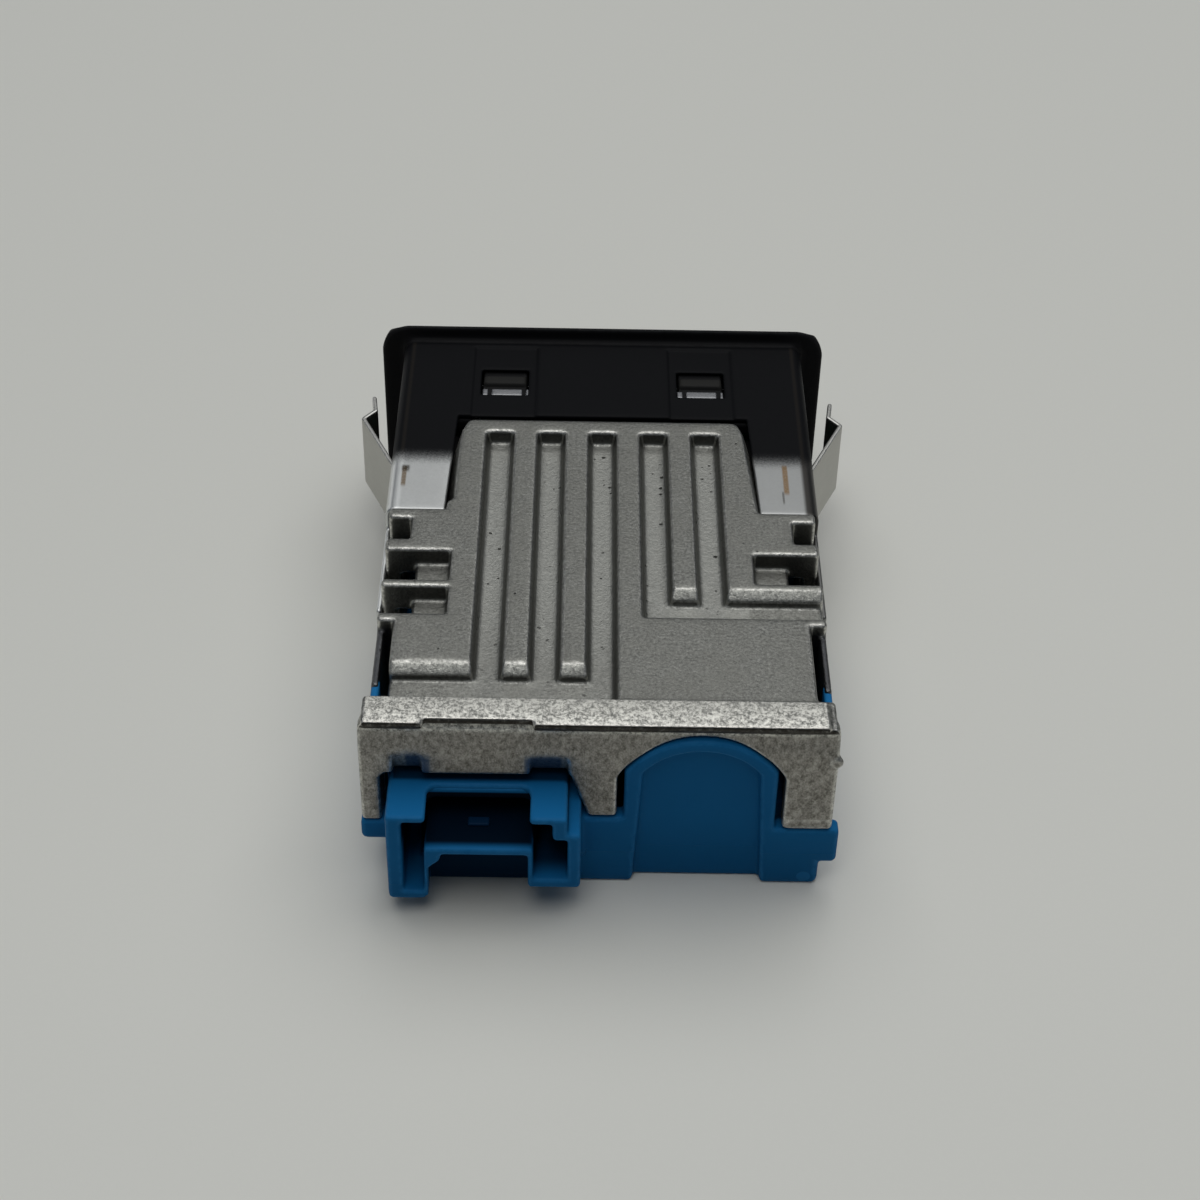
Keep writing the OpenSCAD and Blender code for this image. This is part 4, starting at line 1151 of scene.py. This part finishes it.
class SOCKET_OT_cast_cover(bpy.types.Operator):
    """Makes the die-cast cover with its cooling grooves"""

    bl_idname = "socket.cast_cover"
    bl_label = "Cast cover"

    def execute(self, context):
        edges = context.scene.socket_edges
        sizes = (edges.cast_edge, edges.cast_fillet, edges.cell)
        ob = rounded_piece("grooved_cover", "cast_cover", *sizes, shape=cover_shape)
        dress(ob, cast_metal(), "socket", "cast_metal", "cast_cover")
        return {"FINISHED"}


class SOCKET_OT_rear_housing(bpy.types.Operator):
    """Makes the blue lower housing with the connector shroud"""

    bl_idname = "socket.rear_housing"
    bl_label = "Rear housing"

    def execute(self, context):
        edges = context.scene.socket_edges
        sizes = (edges.blue_edge, edges.blue_fillet, edges.cell)
        ob = rounded_piece("lower_housing", "rear_housing", *sizes, shape=housing_shape)
        dress(ob, blue_plastic(), "socket", "blue_plastic", "rear_housing")
        ob = rounded_mesh("mouth_lintel", lintel_solid(), PLATE_EDGE, FINE_FILLET, edges.cell * LINTEL_CELL)
        dress(ob, blue_plastic(), "socket", "blue_plastic")
        # The key pad has a darker copy of the blue, which is painted shade
        ob = rounded_mesh("key_pad", block_solid(*KEY_PAD), PAD_EDGE, FINE_FILLET, edges.cell * PAD_CELL)
        dress(ob, plain_finish("key_pad"), "socket", "blue_plastic")
        return {"FINISHED"}


class SOCKET_OT_front_bezel(bpy.types.Operator):
    """Makes the front moulding and the port face in it"""

    bl_idname = "socket.front_bezel"
    bl_label = "Front bezel"

    def execute(self, context):
        edges = context.scene.socket_edges
        sizes = (edges.bezel_edge, FINE_FILLET, edges.cell * FLANGE_CELL)
        ob = rounded_piece("front_moulding", "bezel_frame", *sizes, coarsen=0.004, shape=moulding_shape)
        dress(ob, black_plastic(), "socket", "black_plastic", "bezel_frame")
        ob = rounded_piece("port_plate", "port_face", PLATE_EDGE, FINE_FILLET, edges.cell)
        dress(ob, plain_finish("dark_plastic"), "socket", "dark_plastic", "port_face")
        return {"FINISHED"}


class SOCKET_OT_front_sleeve(bpy.types.Operator):
    """Makes the folded sheet sleeve, coated black at the front"""

    bl_idname = "socket.front_sleeve"
    bl_label = "Front sleeve"

    def execute(self, context):
        edges = context.scene.socket_edges
        sizes = (edges.sheet_edge, FINE_FILLET, edges.cell * SHEET_CELL)
        ob = rounded_piece("sheet_sleeve", "front_sleeve", *sizes, coarsen=0.02, shape=sleeve_shape)
        dress(ob, sleeve_sheet(), "socket", "sleeve_steel", "front_sleeve")
        ledge_sizes = (SMALL_EDGE, SMALL_FILLET, edges.cell * LEDGE_CELL)
        for hand, x in (("left", -LEDGE_X), ("right", LEDGE_X)):
            for part, (start, end) in LEDGE_PARTS.items():
                solid = block_solid(*zip((x + start, x + end), LEDGE_Y, LEDGE_Z))
                ob = rounded_mesh(f"{hand}_{part}_ledge", solid, *ledge_sizes)
                dress(ob, plain_finish("ledge_sheet"), "socket", "sleeve_steel")
        return {"FINISHED"}


class SOCKET_OT_spring_arms(bpy.types.Operator):
    """Makes the two bent spring arms"""

    bl_idname = "socket.spring_arms"
    bl_label = "Spring arms"

    def execute(self, context):
        edges = context.scene.socket_edges
        sizes = (edges.sheet_edge, ARM_FILLET, edges.cell * ARM_CELL)
        for hand in ("left", "right"):
            ob = rounded_piece(f"{hand}_arm_strip", f"{hand}_spring_arm", *sizes, coarsen=0.02)
            dress(ob, spring_steel(), f"{hand}_arm", "spring_steel", f"{hand}_spring_arm")
        return {"FINISHED"}


class SOCKET_OT_ports(bpy.types.Operator):
    """Makes the port shells, their tongues and the contact strips"""

    bl_idname = "socket.ports"
    bl_label = "Ports"

    def execute(self, context):
        sizes = (SMALL_EDGE, SMALL_FILLET, context.scene.socket_edges.cell * PORT_CELL)
        tree = strip_tree()
        for hand in ("left", "right"):
            for part, slot in (("shell", "shell_steel"), ("tongue", "tongue_plastic")):
                ob = rounded_piece(f"{hand}_{part}", f"{hand}_port_{part}", *sizes)
                dress(ob, plain_finish(slot), "socket", slot, f"{hand}_port_{part}")
            gold = plain_finish("contact_metal")
            low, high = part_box(f"{hand}_port_contacts")
            centre = tuple((low + high) / 2)
            ob = strip_rows(f"{hand}_contact_strips", tree, centre, high.y - low.y, gold)
            dress(ob, gold, "socket", "contact_metal", f"{hand}_port_contacts")
        return {"FINISHED"}


class SOCKET_OT_board(bpy.types.Operator):
    """Gives the circuit board and the parts on it their finishes"""

    bl_idname = "socket.board"
    bl_label = "Circuit board"

    def execute(self, context):
        paint_solid("circuit_board", board_laminate())
        for solid, finish in BOARD_PARTS.items():
            paint_solid(solid, plain_finish(finish))
        return {"FINISHED"}


class SOCKET_PT_looks(bpy.types.Panel):
    """Lists the pieces and their settings"""

    bl_idname = "SOCKET_PT_looks"
    bl_label = "Car USB socket"
    bl_space_type = "VIEW_3D"
    bl_region_type = "UI"
    bl_category = "Socket"

    def draw(self, context):
        column = self.layout.column()
        for operator in OPERATORS:
            column.operator(operator.bl_idname)
        for name in GROUPS:
            group = getattr(context.scene, name)
            box = self.layout.box()
            for key in group.bl_rna.properties.keys():
                if key not in {"rna_type", "name"}:
                    box.prop(group, key)


GROUPS = {
    "socket_edges": SocketEdges,
    "socket_finish": SocketFinish,
    "socket_contacts": SocketContacts,
    "socket_stage": SocketStage,
}
OPERATORS = (
    SOCKET_OT_stage,
    SOCKET_OT_cast_cover,
    SOCKET_OT_rear_housing,
    SOCKET_OT_front_bezel,
    SOCKET_OT_front_sleeve,
    SOCKET_OT_spring_arms,
    SOCKET_OT_ports,
    SOCKET_OT_board,
)


def register():
    for key, group in GROUPS.items():
        bpy.utils.register_class(group)
        setattr(bpy.types.Scene, key, PointerProperty(type=group))
    for cls in OPERATORS + (SOCKET_PT_looks,):
        bpy.utils.register_class(cls)


def unregister():
    for cls in reversed(OPERATORS + (SOCKET_PT_looks,)):
        bpy.utils.unregister_class(cls)
    for key, group in GROUPS.items():
        delattr(bpy.types.Scene, key)
        bpy.utils.unregister_class(group)


def main():
    """Makes every piece."""
    register()
    bpy.ops.socket.stage()
    bpy.ops.socket.cast_cover()
    bpy.ops.socket.rear_housing()
    bpy.ops.socket.front_bezel()
    bpy.ops.socket.front_sleeve()
    bpy.ops.socket.spring_arms()
    bpy.ops.socket.ports()
    bpy.ops.socket.board()


if __name__ == "__main__":
    main()
